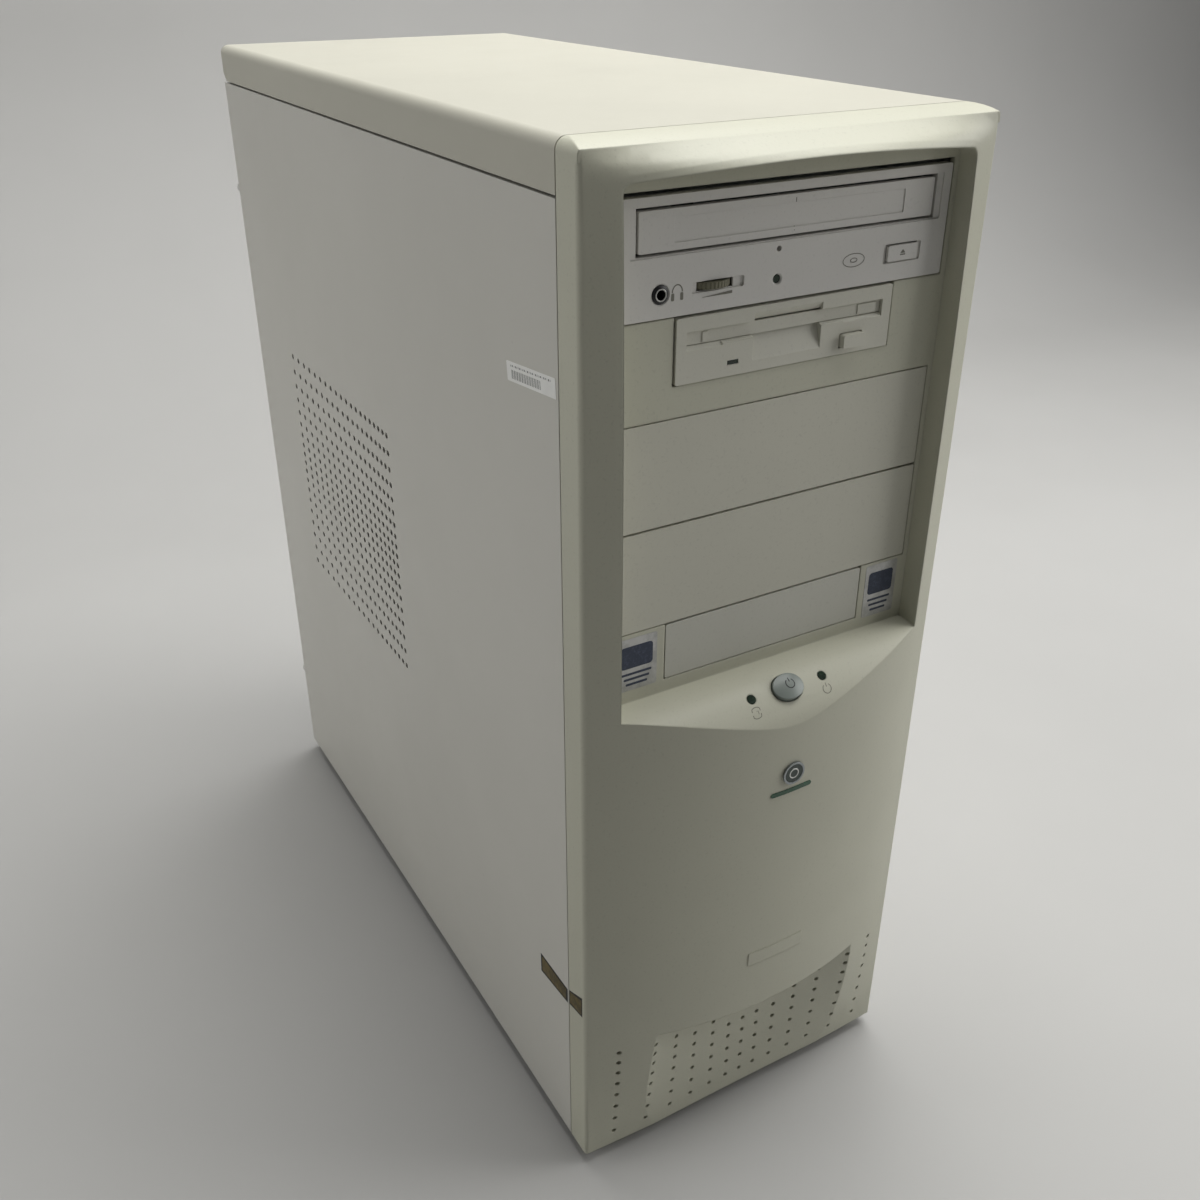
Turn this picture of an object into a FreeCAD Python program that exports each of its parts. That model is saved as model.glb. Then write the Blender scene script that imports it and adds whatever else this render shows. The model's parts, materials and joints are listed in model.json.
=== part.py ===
import FreeCAD, Part
import math
import os

# Desktop computer tower in millimetres, one STEP file per sub-part.
# The model is drawn with X = 0 in the middle of the case, Y = 0 at the straight side edges
# of the front bezel (the front faces -Y) and Z = 0 at the underside of the sheet-metal case.
# save() moves each sub-part so that the origin lies on the table, under the tower's middle.

V = FreeCAD.Vector
X_AXIS = V(1, 0, 0)
Y_AXIS = V(0, 1, 0)
Z_AXIS = V(0, 0, 1)

# Case
case_width = 184.0
case_height = 478.8
case_depth = 416.3
half_width = case_width / 2
sheet = 1.0
foot_height = 8.0
foot_radius = 12.0
foot_x = 66.0
foot_y_front = 45.0
foot_y_rear = 375.0

# Front bezel: a moulded shell whose middle stands forward of its side edges
bezel_depth = 14.6
bezel_wall = 2.5
bezel_edge_radius = 1.5
bulge_depth = 22.5
bulge_middle = 245.0
bulge_reach = 145.0
bulge_power = 4.5
crown_top = 476.4
crown_slope = 2.17
toe_depth = 2.5
toe_slope = 0.26
top_corner_radius = 4.5
recess_half_width = 77.8
recess_corner_z = 465.5
recess_middle_z = 469.2
recess_corner_radius = 4.0
bay_plane = 4.0
shelf_z = 259.5
shelf_radius = 22.9
scoop_top = 77.0
scoop_floor = -1.4
scoop_curve = 340.0
scoop_half_width = 72.0
vent_radius = 1.2
vent_columns = (0.0, 8.8, 19.1, 31.1, 44.0, 58.9, 76.6)
vent_rows = 8
vent_first_z = 10.0
vent_first_pitch = 10.0
vent_pitch_fall = 0.5
badge_z = 216.0
badge_radius = 5.6
badge_rise = 1.0
badge_rim = 0.9
badge_dish = 0.3

# Drive bays, measured in the bay plane
large_bay_half = 75.4
small_bay_half = 51.2
cd_bottom = 417.0
cd_top = 458.9
cd_opening_top = 460.7
floppy_bottom = 391.2
floppy_top = 415.8
covers_top = 378.8
covers_split = 335.3
covers_bottom = 291.5
small_cover_bottom = 265.4
cover_gap = 0.5
clip_inset = 6.0
clip_rear = 9.5

# Fronts of the two drives; rectangles are left, right, bottom and top
drive_face = 3.4
drive_bezel_depth = 4.0
drive_rear = drive_face + drive_bezel_depth
cd_half = 74.25
tray_mouth = (-67.6, 67.6, 439.0, 455.4)
tray_surround = (-70.4, 70.4, 438.5, 455.9)
tray_door = (-66.4, 66.4, 440.0, 454.2)
tray_door_inset = 0.7
tray_panel = (-52.0, 52.0, 442.6, 451.2)
tray_floor = 440.2
tray_bed = 445.2
tray_end = 168.0
disc_centre = 78.0
spindle_y = 95.0
cd_eject = (45.6, 60.4, 424.6, 430.6)
cd_eject_recess = (43.6, 62.3, 423.9, 431.2)
jack_x = -57.5
jack_z = 425.5
jack_bore = 1.8
wheel_x = -34.2
wheel_radius = 10.0
wheel_rise = 1.5
wheel_low = 425.0
wheel_high = 427.4
wheel_y = drive_face - wheel_rise + wheel_radius
wheel_slot = (-42.1, -26.3, 424.6, 427.8)
wheel_recess = (-44.4, -21.8, 424.2, 428.1)
cd_pin_hole = (-6.8, 435.7)
cd_light = (-6.8, 424.7)
cd_light_radius = 1.6
floppy_half = 50.3
diskette_slot = (-45.9, 45.9, 404.9, 410.4)
flap_pivot_z = 409.6
flap_thickness = 1.0
flap_y = drive_face + 1.9
floppy_eject = (25.9, 36.3, 394.0, 399.1)
floppy_light = (-27.5, -22.4, 395.4, 397.2)
thumb_half = 16.0
thumb_bottom = 395.4
thumb_top = 413.3
button_gap = 0.4

# Insides of the two drives
cd_case_half = 73.0
cd_case_rear = 200.0
cd_deck_z = 430.6
cd_rail_low = 436.6
cd_rail_high = 439.8
turntable_z = 434.0
floppy_case_half = 50.1
floppy_case_rear = 152.0
floppy_deck_z = 400.5
floppy_guide_z = 403.6

# Controls on the shelf under the bays
button_lean = math.radians(37.0)
button_half_width = 7.6
button_half_depth = 5.8
button_dome = 24.0
button_rise = 2.4
indicator_x = 18.7
indicator_radius = 2.0
control_gap = 0.35

# Covers
seam = 0.6
top_lip = 18.6
lip_gap = 1.0
panel_flange = 7.0
screw_inset = 4.2
screw_heights = (60.0, 400.0)
thumb_head = 5.0
side_vent_radius = 1.6
side_vent_columns = 20
side_vent_rows = 19
side_vent_front = 197.5
side_vent_middle_z = 248.4
panel_front = bezel_depth + seam
panel_top = case_height - top_lip - lip_gap

# Chassis planes
front_plate = 15.8
rear_plate = 413.6
pan_z = 1.4
wall_x = 90.4
rail_top = case_height - 3.0
tray_x = 83.5

bay_clear_half = 74.2
small_bay_clear_half = 51.4

# Drive cages and the hard disk
large_cage_half = 75.8
large_cage = (291.5, 462.0)
large_cage_rear = 185.0
small_cage_half = 51.9
small_cage = (232.0, 290.3)
small_cage_rear = 180.0
cage_slot_places = (60.0, 110.0, 140.0)
disk_half = 50.8
disk_front = 24.0
disk_rear = 171.0
disk_bottom = 234.6
disk_top = 259.8

# Power supply
psu_half = 75.0
psu_front = 273.6
psu_bottom = 385.0
psu_top = 471.0
fan_size = 80.0
fan_depth = 25.0
fan_bore = 38.0
psu_fan_x = -27.0
psu_fan_z = 428.0
fan_screw_offset = 35.75
case_fan_x = -42.0
case_fan_z = 338.0
inlet_x = 45.0
inlet_z = 446.0
selector_x = 45.0
selector_z = 412.0

# Motherboard
board_x = 77.0
board_thickness = 1.6
board_front = 212.0
board_rear = 411.0
board_bottom = 18.0
board_top = 323.0
slot_pitch = 20.32
first_slot_z = 30.0
slot_count = 7
sound_slot = 2
video_slot = 6
ports_z = 240.0
ports_half = 79.1
bracket_low_x = -43.0
bracket_high_x = 73.0
first_jack_x = 58.0
jack_pitch = 13.0
jack_count = 4
cooler_x = 38.0
cooler_y = 296.0
cooler_z = 188.9
speaker_x = 30.0
speaker_z = 160.0


# ---------------------------------------------------------------- helpers

def box(x0, x1, y0, y1, z0, z1):
    """A block between two corners."""
    return Part.makeBox(x1 - x0, y1 - y0, z1 - z0, V(x0, y0, z0))


def rod(radius, start, direction, length):
    """A cylinder from start along direction."""
    return Part.makeCylinder(radius, length, V(*start), direction)


def union(shapes):
    """One solid from shapes that touch or overlap."""
    shapes = list(shapes)
    return shapes[0].multiFuse(shapes[1:]).removeSplitter()


def cut(shape, tools):
    """A shape with every tool taken away from it."""
    return shape.cut(Part.makeCompound(list(tools)))


def group(shapes):
    """Separate solids that share one node."""
    return Part.makeCompound(list(shapes))


def prism(points, direction):
    """A straight-sided outline swept along a direction."""
    corners = [V(*point) for point in points]
    return Part.Face(Part.makePolygon(corners + corners[:1])).extrude(direction)


def line(start, end):
    return Part.LineSegment(V(*start), V(*end)).toShape()


def arc(start, middle, end):
    return Part.Arc(V(*start), V(*middle), V(*end)).toShape()


def rounded_plate(x0, x1, z0, z1, radius, y0, y1):
    """A plate facing Y whose four corners are rounded."""
    plate = box(x0, x1, y0, y1, z0, z1)
    edges = [edge for edge in plate.Edges if abs(edge.tangentAt(edge.FirstParameter).y) > 0.99]
    return plate.makeFillet(radius, edges)


def grown(rectangle, gap):
    """A rectangle (left, right, bottom, top) made larger by a gap on every side."""
    x0, x1, z0, z1 = rectangle
    return x0 - gap, x1 + gap, z0 - gap, z1 + gap


def pocket(rectangle, y0, y1):
    """A square-cornered block behind a rectangle that faces the front."""
    x0, x1, z0, z1 = rectangle
    return box(x0, x1, y0, y1, z0, z1)


def ramp(x0, x1, face_z, deep_z, depth):
    """A wedge cut into a drive's front, from nothing at face_z to its full depth at deep_z."""
    y = drive_face
    outline = [(x0, y - 1, face_z), (x0, y, face_z), (x0, y + depth, deep_z), (x0, y - 1, deep_z)]
    return prism(outline, X_AXIS * (x1 - x0))


def turned(shape, centre, axis, degrees):
    """A copy turned about a line through centre."""
    copy = shape.copy()
    copy.rotate(V(*centre), axis, degrees)
    return copy


def moved(shape, x, y, z):
    copy = shape.copy()
    copy.translate(V(x, y, z))
    return copy


def swept(profile, points, bend):
    """A profile swept along straight runs joined by tangent arcs of one radius."""
    corners = [V(*point) for point in points]
    edges = []
    start = corners[0]
    for before, corner, after in zip(corners, corners[1:], corners[2:]):
        arrive = (corner - before).normalize()
        leave = (after - corner).normalize()
        half_turn = arrive.getAngle(leave) / 2
        reach = bend * math.tan(half_turn)
        first = corner - arrive * reach
        last = corner + leave * reach
        inward = (leave - arrive).normalize()
        middle = corner + inward * (bend / math.cos(half_turn) - bend)
        edges.append(Part.LineSegment(start, first).toShape())
        edges.append(Part.Arc(first, middle, last).toShape())
        start = last
    edges.append(Part.LineSegment(start, corners[-1]).toShape())
    return Part.Wire(edges).makePipeShell([profile], True, False)


# ---------------------------------------------------------------- front bezel

def bulge_at(z):
    """How far the bezel's middle stands forward of its side edges at height z."""
    face = bulge_depth - (abs(z - bulge_middle) / bulge_reach) ** bulge_power
    crown = max(crown_slope * (crown_top - z), 0.2)
    toe = toe_depth + toe_slope * z
    return (face ** -8 + crown ** -8 + toe ** -8) ** (-1 / 8)


def bezel_section(z, inset, rear, bulge):
    """A level outline of the bezel: straight back and sides, and a bowed front."""
    side = half_width - inset
    radius = bezel_edge_radius
    bow = bulge * (1 - ((side - radius) / side) ** 2)
    corner_x = side - 0.3 * radius
    corner_y = inset + 0.3 * radius - 0.35 * bow
    edges = [
        line((-side, rear, z), (side, rear, z)),
        line((side, rear, z), (side, inset + radius, z)),
        arc((side, inset + radius, z), (corner_x, corner_y, z), (side - radius, inset - bow, z)),
        arc((side - radius, inset - bow, z), (0, inset - bulge, z), (radius - side, inset - bow, z)),
        arc((radius - side, inset - bow, z), (-corner_x, corner_y, z), (-side, inset + radius, z)),
        line((-side, inset + radius, z), (-side, rear, z)),
    ]
    return Part.Wire(edges)


def bezel_heights(low, high):
    """Section heights, close together where the front turns over towards the top."""
    gentle = [low + (420.0 - low) * step / 14 for step in range(15)]
    tight = [high - (high - 420.0) * (1 - step / 12) ** 2 for step in range(1, 13)]
    return gentle + tight


def bezel_block():
    """The bezel's outer form, before it is hollowed out."""
    sections = [bezel_section(z, 0.0, bezel_depth, bulge_at(z)) for z in bezel_heights(0.0, crown_top)]
    body = Part.makeLoft(sections, True, False)
    rise = case_height - crown_top
    slope_y = bezel_depth * 0.45
    cap_edges = [
        line((-half_width, bezel_depth, crown_top - 4), (-half_width, 0, crown_top - 4)),
        line((-half_width, 0, crown_top - 4), (-half_width, 0, crown_top)),
        arc((-half_width, 0, crown_top), (-half_width, slope_y, crown_top + rise * 0.72),
            (-half_width, bezel_depth, case_height)),
        line((-half_width, bezel_depth, case_height), (-half_width, bezel_depth, crown_top - 4)),
    ]
    cap = Part.Face(Part.Wire(cap_edges)).extrude(X_AXIS * case_width)
    envelope = box(-half_width, half_width, -40, bezel_depth, -1, case_height)
    corners = [edge for edge in envelope.Edges
               if abs(edge.tangentAt(edge.FirstParameter).y) > 0.99 and edge.BoundBox.ZMin > 100]
    return body.fuse(cap).common(envelope.makeFillet(top_corner_radius, corners))


def bezel_hollow():
    """The space inside the shell, open to the rear."""
    low = bezel_wall
    high = crown_top - bezel_wall
    sections = []
    for z in bezel_heights(low, high):
        bulge = min(bulge_at(z), bulge_at(z + bezel_wall))
        sections.append(bezel_section(z, bezel_wall, bezel_depth + 5, bulge))
    return Part.makeLoft(sections, True, False)


def bay_recess(grow):
    """The deep recess for the drive bays above the rounded control shelf."""
    side = recess_half_width + grow
    radius = shelf_radius - grow
    axis_z = shelf_z - shelf_radius
    back = bay_plane + grow
    diagonal = radius * math.sqrt(0.5)
    profile = [
        line((-side, back, axis_z + radius), (-side, 0, axis_z + radius)),
        arc((-side, 0, axis_z + radius), (-side, -diagonal, axis_z + diagonal), (-side, -radius, axis_z)),
        line((-side, -radius, axis_z), (-side, -60, axis_z)),
        line((-side, -60, axis_z), (-side, -60, 500)),
        line((-side, -60, 500), (-side, back, 500)),
        line((-side, back, 500), (-side, back, axis_z + radius)),
    ]
    shelf_cut = Part.Face(Part.Wire(profile)).extrude(X_AXIS * 2 * side)
    low = axis_z - 5
    corner = recess_corner_radius + grow
    corner_z = recess_corner_z + grow
    knee = corner * (1 - math.sqrt(0.5))
    outline = [
        line((-side, -60, low), (side, -60, low)),
        line((side, -60, low), (side, -60, corner_z - corner)),
        arc((side, -60, corner_z - corner), (side - knee, -60, corner_z - knee),
            (side - corner, -60, corner_z)),
        arc((side - corner, -60, corner_z), (0, -60, recess_middle_z + grow),
            (corner - side, -60, corner_z)),
        arc((corner - side, -60, corner_z), (knee - side, -60, corner_z - knee),
            (-side, -60, corner_z - corner)),
        line((-side, -60, corner_z - corner), (-side, -60, low)),
    ]
    front_cut = Part.Face(Part.Wire(outline)).extrude(Y_AXIS * 100)
    return shelf_cut.common(front_cut)


def foot_scoop(grow):
    """The hollow under the bulge that holds the front air holes."""
    sections = []
    side = scoop_half_width
    for z in (-1.0, scoop_top + grow):
        middle = scoop_floor + grow
        edge = middle - side ** 2 / scoop_curve * max(z, 2.0) / scoop_top
        sections.append(Part.Wire([
            line((-side, -60, z), (side, -60, z)),
            line((side, -60, z), (side, edge, z)),
            arc((side, edge, z), (0, middle, z), (-side, edge, z)),
            line((-side, edge, z), (-side, -60, z)),
        ]))
    return Part.makeLoft(sections, True, True)


def bay_openings():
    """The openings in the bay panel for the drives and the blank covers."""
    y0 = bay_plane - 1
    y1 = bay_plane + bezel_wall + 1
    return union([
        box(-large_bay_half, large_bay_half, y0, y1, cd_bottom - 0.6, cd_opening_top),
        box(-small_bay_half, small_bay_half, y0, y1, floppy_bottom - 0.3, cd_bottom),
        box(-large_bay_half, large_bay_half, y0, y1, covers_bottom, covers_top),
        box(-small_bay_half, small_bay_half, y0, y1, small_cover_bottom, covers_bottom + 1),
    ])


def front_vents():
    """The rows of round air holes at the foot of the bezel."""
    holes = []
    z = vent_first_z
    pitch = vent_first_pitch
    for _ in range(vent_rows):
        for column in vent_columns:
            for x in {column, -column}:
                holes.append(rod(vent_radius, (x, -30, z), Y_AXIS, 38))
        z += pitch
        pitch -= vent_pitch_fall
    return holes


def shelf_normal():
    """The outward direction of the control shelf where the button and indicators sit."""
    return V(0, -math.sin(button_lean), math.cos(button_lean))


def shelf_point(x, height):
    """A point above the control row of the shelf, measured along its normal."""
    foot = V(x, 0, shelf_z - shelf_radius)
    return foot + shelf_normal() * (shelf_radius + height)


def oval_post(half_x, half_y, low, high):
    """An upright oval post on the shelf, between two heights along the shelf's normal."""
    ellipse = Part.Ellipse(V(0, 0, 0), half_x, half_y).toShape()
    post = Part.Face(Part.Wire(ellipse)).extrude(Z_AXIS * (high - low))
    post.rotate(V(0, 0, 0), X_AXIS, math.degrees(button_lean))
    post.translate(shelf_point(0, low))
    return post


def front_bezel():
    outer = bezel_block()
    walls = bay_recess(bezel_wall).fuse(foot_scoop(bezel_wall)).common(outer)
    shell = outer.cut(bezel_hollow()).fuse(walls)
    shell = cut(shell, [bay_recess(0.0)])
    shell = cut(shell, [foot_scoop(0.0)])
    openings = [bay_openings()]
    openings.append(oval_post(button_half_width + control_gap, button_half_depth + control_gap, -8, 8))
    for x in (-indicator_x, indicator_x):
        openings.append(rod(indicator_radius + 0.15, tuple(shelf_point(x, -8)), shelf_normal(), 16))
    shell = cut(shell, openings)
    return cut(shell, front_vents())


def bay_cover(bottom, top, half):
    """A blank cover that closes an empty drive bay, with its two side clips."""
    face = rounded_plate(-half + cover_gap, half - cover_gap, bottom + cover_gap, top - cover_gap,
                         0.8, bay_plane, bay_plane + bezel_wall)
    clips = [box(x - 1, x + 1, bay_plane + bezel_wall, bay_plane + clip_rear, bottom + 8, top - 8)
             for x in (clip_inset - half, half - clip_inset)]
    return union([face] + clips)


def front_badge():
    """A plain round emblem with a raised rim on the middle of the bezel."""
    front = -bulge_at(badge_z) - badge_rise
    disc = rod(badge_radius, (0, front, badge_z), Y_AXIS, badge_rise - 0.1)
    return disc.cut(rod(badge_radius - badge_rim, (0, front - 1, badge_z), Y_AXIS, 1 + badge_dish))


def indicator_lenses():
    """The lenses of the power and disk lights on the shelf, and of the two drives."""
    lenses = [rod(indicator_radius, tuple(shelf_point(x, -3.0)), shelf_normal(), 3.2)
              for x in (-indicator_x, indicator_x)]
    lenses.append(pocket(grown(floppy_light, -0.1), drive_face + 0.3, drive_face + 3.4))
    lenses.append(rod(cd_light_radius, (cd_light[0], drive_face + 0.6, cd_light[1]), Y_AXIS, 2.8))
    return group(lenses)


def power_button():
    """The domed oval button and its stem, which slides along the shelf's normal."""
    cap = oval_post(button_half_width, button_half_depth, -4.0, 3.0)
    dome = Part.makeSphere(button_dome, shelf_point(0, button_rise - button_dome))
    cap = cap.common(dome)
    stem = rod(2.5, tuple(shelf_point(0, -12.0)), shelf_normal(), 8.5)
    return cap.fuse(stem).removeSplitter()


def power_switch():
    """The switch under the button; its bore takes the button's stem."""
    block = Part.makeBox(14, 14, 9, V(-7, -7, -9))
    block.rotate(V(0, 0, 0), X_AXIS, math.degrees(button_lean))
    block.translate(shelf_point(0, -9.0))
    bore = rod(2.58, tuple(shelf_point(0, -15.0)), shelf_normal(), 8.0)
    return block.cut(bore)


# ---------------------------------------------------------------- covers and chassis

def top_cover():
    """The folded cover: top, two side lips and a rear lip, with rounded long edges."""
    length = case_depth - panel_front
    low = case_height - top_lip
    outer = box(-half_width, half_width, panel_front, case_depth, low, case_height)
    inner = box(-half_width + sheet, half_width - sheet, panel_front - 1, case_depth - sheet,
                low - 1, case_height - sheet)
    outer_edges = [edge for edge in outer.Edges
                   if abs(edge.tangentAt(edge.FirstParameter).y) > 0.99 and edge.BoundBox.ZMin > low + 1]
    inner_edges = [edge for edge in inner.Edges
                   if abs(edge.tangentAt(edge.FirstParameter).y) > 0.99 and edge.BoundBox.ZMin > low + 1]
    cover = outer.makeFillet(top_corner_radius, outer_edges)
    cover = cover.cut(inner.makeFillet(top_corner_radius - sheet, inner_edges))
    clip = 5.0
    notch = prism([(-half_width - 1, case_depth + 1, low - 1), (-half_width - 1, case_depth - clip, low - 1),
                   (-half_width - 1, case_depth + 1, low + clip)], X_AXIS * (case_width + 2))
    holes = [rod(1.9, (x, panel_front + length - 5, low + 9), Y_AXIS, 10) for x in (-82, 82)]
    rear_window = box(-76, 76, case_depth - 3, case_depth + 1, low - 1, low + 13)
    return cut(cover, [notch, rear_window] + holes)


def side_panel(side):
    """A side panel with inward flanges; side is -1 for the left and 1 for the right."""
    outer = box(-half_width, -half_width + panel_flange, panel_front, case_depth, 0, panel_top)
    inner = box(-half_width + sheet, -half_width + panel_flange + 1, panel_front - 1,
                case_depth - sheet, sheet, panel_top - sheet)
    panel = outer.cut(inner)
    holes = [rod(1.9, (-half_width + screw_inset, case_depth - 3, z), Y_AXIS, 5) for z in screw_heights]
    panel = cut(panel, holes)
    if side > 0:
        return panel.mirror(V(0, 0, 0), X_AXIS)
    return cut(panel, side_vents())


def side_vents():
    """A field of round holes whose spacing grows away from its front and middle."""
    holes = []
    y = side_vent_front
    for column in range(side_vent_columns):
        z_offsets = [0.0]
        reach = 0.0
        for row in range(1, side_vent_rows // 2 + 1):
            reach += 5.3 + 0.48 * (row - 0.5)
            z_offsets += [-reach, reach]
        for offset in z_offsets:
            start = (-half_width - 1, y, side_vent_middle_z + offset)
            holes.append(rod(side_vent_radius, start, X_AXIS, 3))
        y += 5.35 + 0.275 * column
    return holes


def panel_screws():
    """Two captive thumbscrews that hold the left panel to the rear of the chassis."""
    screws = []
    radius = screw_inset - 0.1
    for z in screw_heights:
        x = -half_width + screw_inset
        shank = rod(1.6, (x, case_depth - 8, z), Y_AXIS, 8.2)
        head = rod(radius, (x, case_depth + 0.05, z), Y_AXIS, thumb_head)
        grooves = [rod(0.45, (x + radius * math.cos(turn), case_depth - 1, z + radius * math.sin(turn)),
                       Y_AXIS, 8) for turn in (math.radians(24 * step) for step in range(15))]
        screws.append(cut(shank.fuse(head), grooves))
    return group(screws)


def feet():
    """Four round moulded feet."""
    posts = []
    for x in (-foot_x, foot_x):
        for y in (foot_y_front, foot_y_rear):
            post = Part.makeCone(foot_radius - 1.5, foot_radius, foot_height + pan_z, V(x, y, -foot_height))
            posts.append(post.cut(rod(4.0, (x, y, -foot_height - 1), Z_AXIS, 4.0)))
    return group(posts)


def chassis_pan():
    """The floor of the chassis, with upturned side flanges and openings for the feet."""
    pan = box(-wall_x, wall_x, front_plate, rear_plate, pan_z, pan_z + sheet)
    flanges = [box(x, x + sheet, front_plate + sheet, rear_plate, pan_z, pan_z + 12)
               for x in (-wall_x + 10, wall_x - 11)]
    return union([pan] + flanges)


def flange_notches(y0, y1):
    """Notches in an upright plate where the side panels' top flanges pass through it."""
    low, high = panel_top - sheet - 0.5, panel_top + 0.5
    inner = half_width - panel_flange - 0.5
    return [box(-half_width, -inner, y0, y1, low, high), box(inner, half_width, y0, y1, low, high)]


def chassis_front():
    """The front plate of the chassis, open behind the drive bays and the air holes."""
    plate = box(-wall_x, wall_x, front_plate, front_plate + sheet, pan_z + sheet, rail_top - 8)
    y0, y1 = front_plate - 1, front_plate + 3
    wide, narrow = bay_clear_half, small_bay_clear_half
    openings = [
        box(-wide, wide, y0, y1, covers_split - 0.7, cd_top + 1.1),
        box(-wide, wide, y0, y1, covers_bottom - 0.5, covers_split - 1.7),
        box(-narrow, narrow, y0, y1, small_cover_bottom - 1.0, covers_bottom - 1.5),
        rounded_plate(-80, 80, 12, 74, 4, y0, y1),
        rounded_plate(-20, 20, 225, 255, 3, y0, y1),
    ]
    return cut(plate, openings + flange_notches(y0, y1))


def chassis_rails():
    """Two folded rails and a cross strap that join the front and rear plates at the top."""
    rails = []
    for side in (-1, 1):
        outer = side * wall_x
        inner = side * (wall_x - 9)
        low, high = min(outer, inner), max(outer, inner)
        rail = box(low, high, front_plate, rear_plate, rail_top - 8, rail_top)
        lining = box(low + sheet, high - sheet, front_plate - 1, rear_plate + 1,
                     rail_top - 9, rail_top - sheet)
        rails.append(rail.cut(lining))
    strap = box(-wall_x + 9, wall_x - 9, 235, 255, rail_top - sheet, rail_top)
    return union(rails + [strap])


def fan_corners(x, z):
    """The four screw places of an 80 mm fan centred on x and z."""
    return [(x + side * fan_screw_offset, z + level * fan_screw_offset)
            for side in (-1, 1) for level in (-1, 1)]


def rear_openings():
    """The openings in the chassis rear plate."""
    y0 = rear_plate - 1
    y1 = rear_plate + sheet + 1
    cuts = [
        box(-psu_half + 4, psu_half - 4, y0, y1, psu_bottom + 4, psu_top - 4),
        box(32.6, board_x, y0, y1, ports_z - ports_half - 0.3, ports_z + ports_half + 0.3),
    ]
    for slot in range(slot_count):
        z = first_slot_z + slot_pitch * slot
        cuts.append(box(bracket_low_x + 7, bracket_high_x - 5, y0, y1, z - 6.5, z + 6.5))
    cuts += [rod(2.2, (x, y0, z), Y_AXIS, 3) for x, z in fan_corners(case_fan_x, case_fan_z)]
    for ring in range(1, 5):
        radius = 8.4 * ring
        count = 6 * ring
        for step in range(count):
            turn = 2 * math.pi * step / count
            cuts.append(rod(3.1, (case_fan_x + radius * math.cos(turn), y0,
                                  case_fan_z + radius * math.sin(turn)), Y_AXIS, 3))
    for row in range(6):
        for column in range(7):
            cuts.append(rod(2.2, (-78 + 9 * column, y0, 196 + 9 * row), Y_AXIS, 3))
    for side in (-1, 1):
        for z in screw_heights:
            cuts.append(rod(1.75, (side * (half_width - screw_inset), y0, z), Y_AXIS, 3))
    return cuts + flange_notches(y0, y1)


def chassis_rear():
    """The rear plate of the chassis."""
    plate = box(-wall_x, wall_x, rear_plate, rear_plate + sheet, pan_z, rail_top)
    return cut(plate, rear_openings())


def board_tray():
    """The upright sheet that carries the motherboard."""
    return box(tray_x, tray_x + sheet, 100, rear_plate, pan_z + sheet, rail_top - 8.2)


def drive_cage(half, bottom, top, rear):
    """Two side plates joined by a floor, with rows of mounting slots."""
    walls = []
    for side in (-1, 1):
        inner = side * half
        outer = side * (half + sheet)
        walls.append(box(min(inner, outer), max(inner, outer), front_plate + sheet, rear, bottom, top))
    floor = box(-half - sheet, half + sheet, front_plate + sheet, rear, bottom - sheet, bottom)
    slots = []
    for z in range(int(bottom) + 14, int(top) - 4, 21):
        for y in cage_slot_places:
            slots.append(box(-half - 3, half + 3, y, y + 9, z, z + 3.4))
    return cut(union(walls + [floor]), slots)


def case_screws():
    """The screws at the rear of the case: power supply, cards, top cover and right panel."""
    seats = [(x, rear_plate + sheet, z, 3.0) for x, z in
             ((-69, psu_bottom + 6), (69, psu_bottom + 6), (-69, psu_top - 6), (45, psu_top - 6))]
    seats += [(x, case_depth, case_height - top_lip + 9, 3.4) for x in (-82, 82)]
    seats += [(half_width - screw_inset, case_depth, z, 3.4) for z in screw_heights]
    seats += [(x, rear_plate + sheet, z, 3.4) for x, z in fan_corners(case_fan_x, case_fan_z)]
    screws = []
    for x, y, z, radius in seats:
        head = rod(radius, (x, y + 0.05, z), Y_AXIS, 2.0)
        cross = [box(x - 1.6, x + 1.6, y + 1.2, y + 3, z - 0.35, z + 0.35),
                 box(x - 0.35, x + 0.35, y + 1.2, y + 3, z - 1.6, z + 1.6)]
        screws.append(cut(head, cross))
    return group(screws)


def drive_screws():
    """The screws that hold the drives in their cages."""
    screws = []
    seats = ((large_cage_half, cd_case_half, 432.7), (small_cage_half, disk_half, 247.7))
    for half, drive_half, z in seats:
        for y in (64.5, 144.5):
            for side in (-1, 1):
                head = rod(2.9, (side * (half + sheet + 0.05), y, z), X_AXIS * side, 1.8)
                shank = rod(1.4, (side * (drive_half + 0.05), y, z), X_AXIS * side, half - drive_half + 1.2)
                screws.append(head.fuse(shank))
    return group(screws)


# ---------------------------------------------------------------- optical drive

def cd_drive_case():
    """The optical drive's sheet-metal can with its deck and tray rails."""
    low, high, rear = cd_bottom + 0.8, cd_top - 0.6, cd_case_rear
    inner = cd_case_half - sheet
    can = box(-cd_case_half, cd_case_half, drive_rear, rear, low, high)
    space = box(-inner, inner, drive_rear - 1, rear - sheet, low + sheet, high - sheet)
    deck = box(-inner, inner, 32, rear - sheet, cd_deck_z, cd_deck_z + sheet)
    deck_opening = rod(19, (0, spindle_y, cd_deck_z - 5), Z_AXIS, 12)
    rails = [box(x, x + 6, drive_rear + 1, rear - sheet, cd_rail_low, cd_rail_high)
             for x in (-inner, inner - 6)]
    sockets = [box(-52, 0, rear - 2, rear + 1, 421, 430), box(30, 52, rear - 2, rear + 1, 421, 430)]
    return cut(union([can.cut(space)] + rails + [deck.cut(deck_opening)]), sockets)


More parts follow.
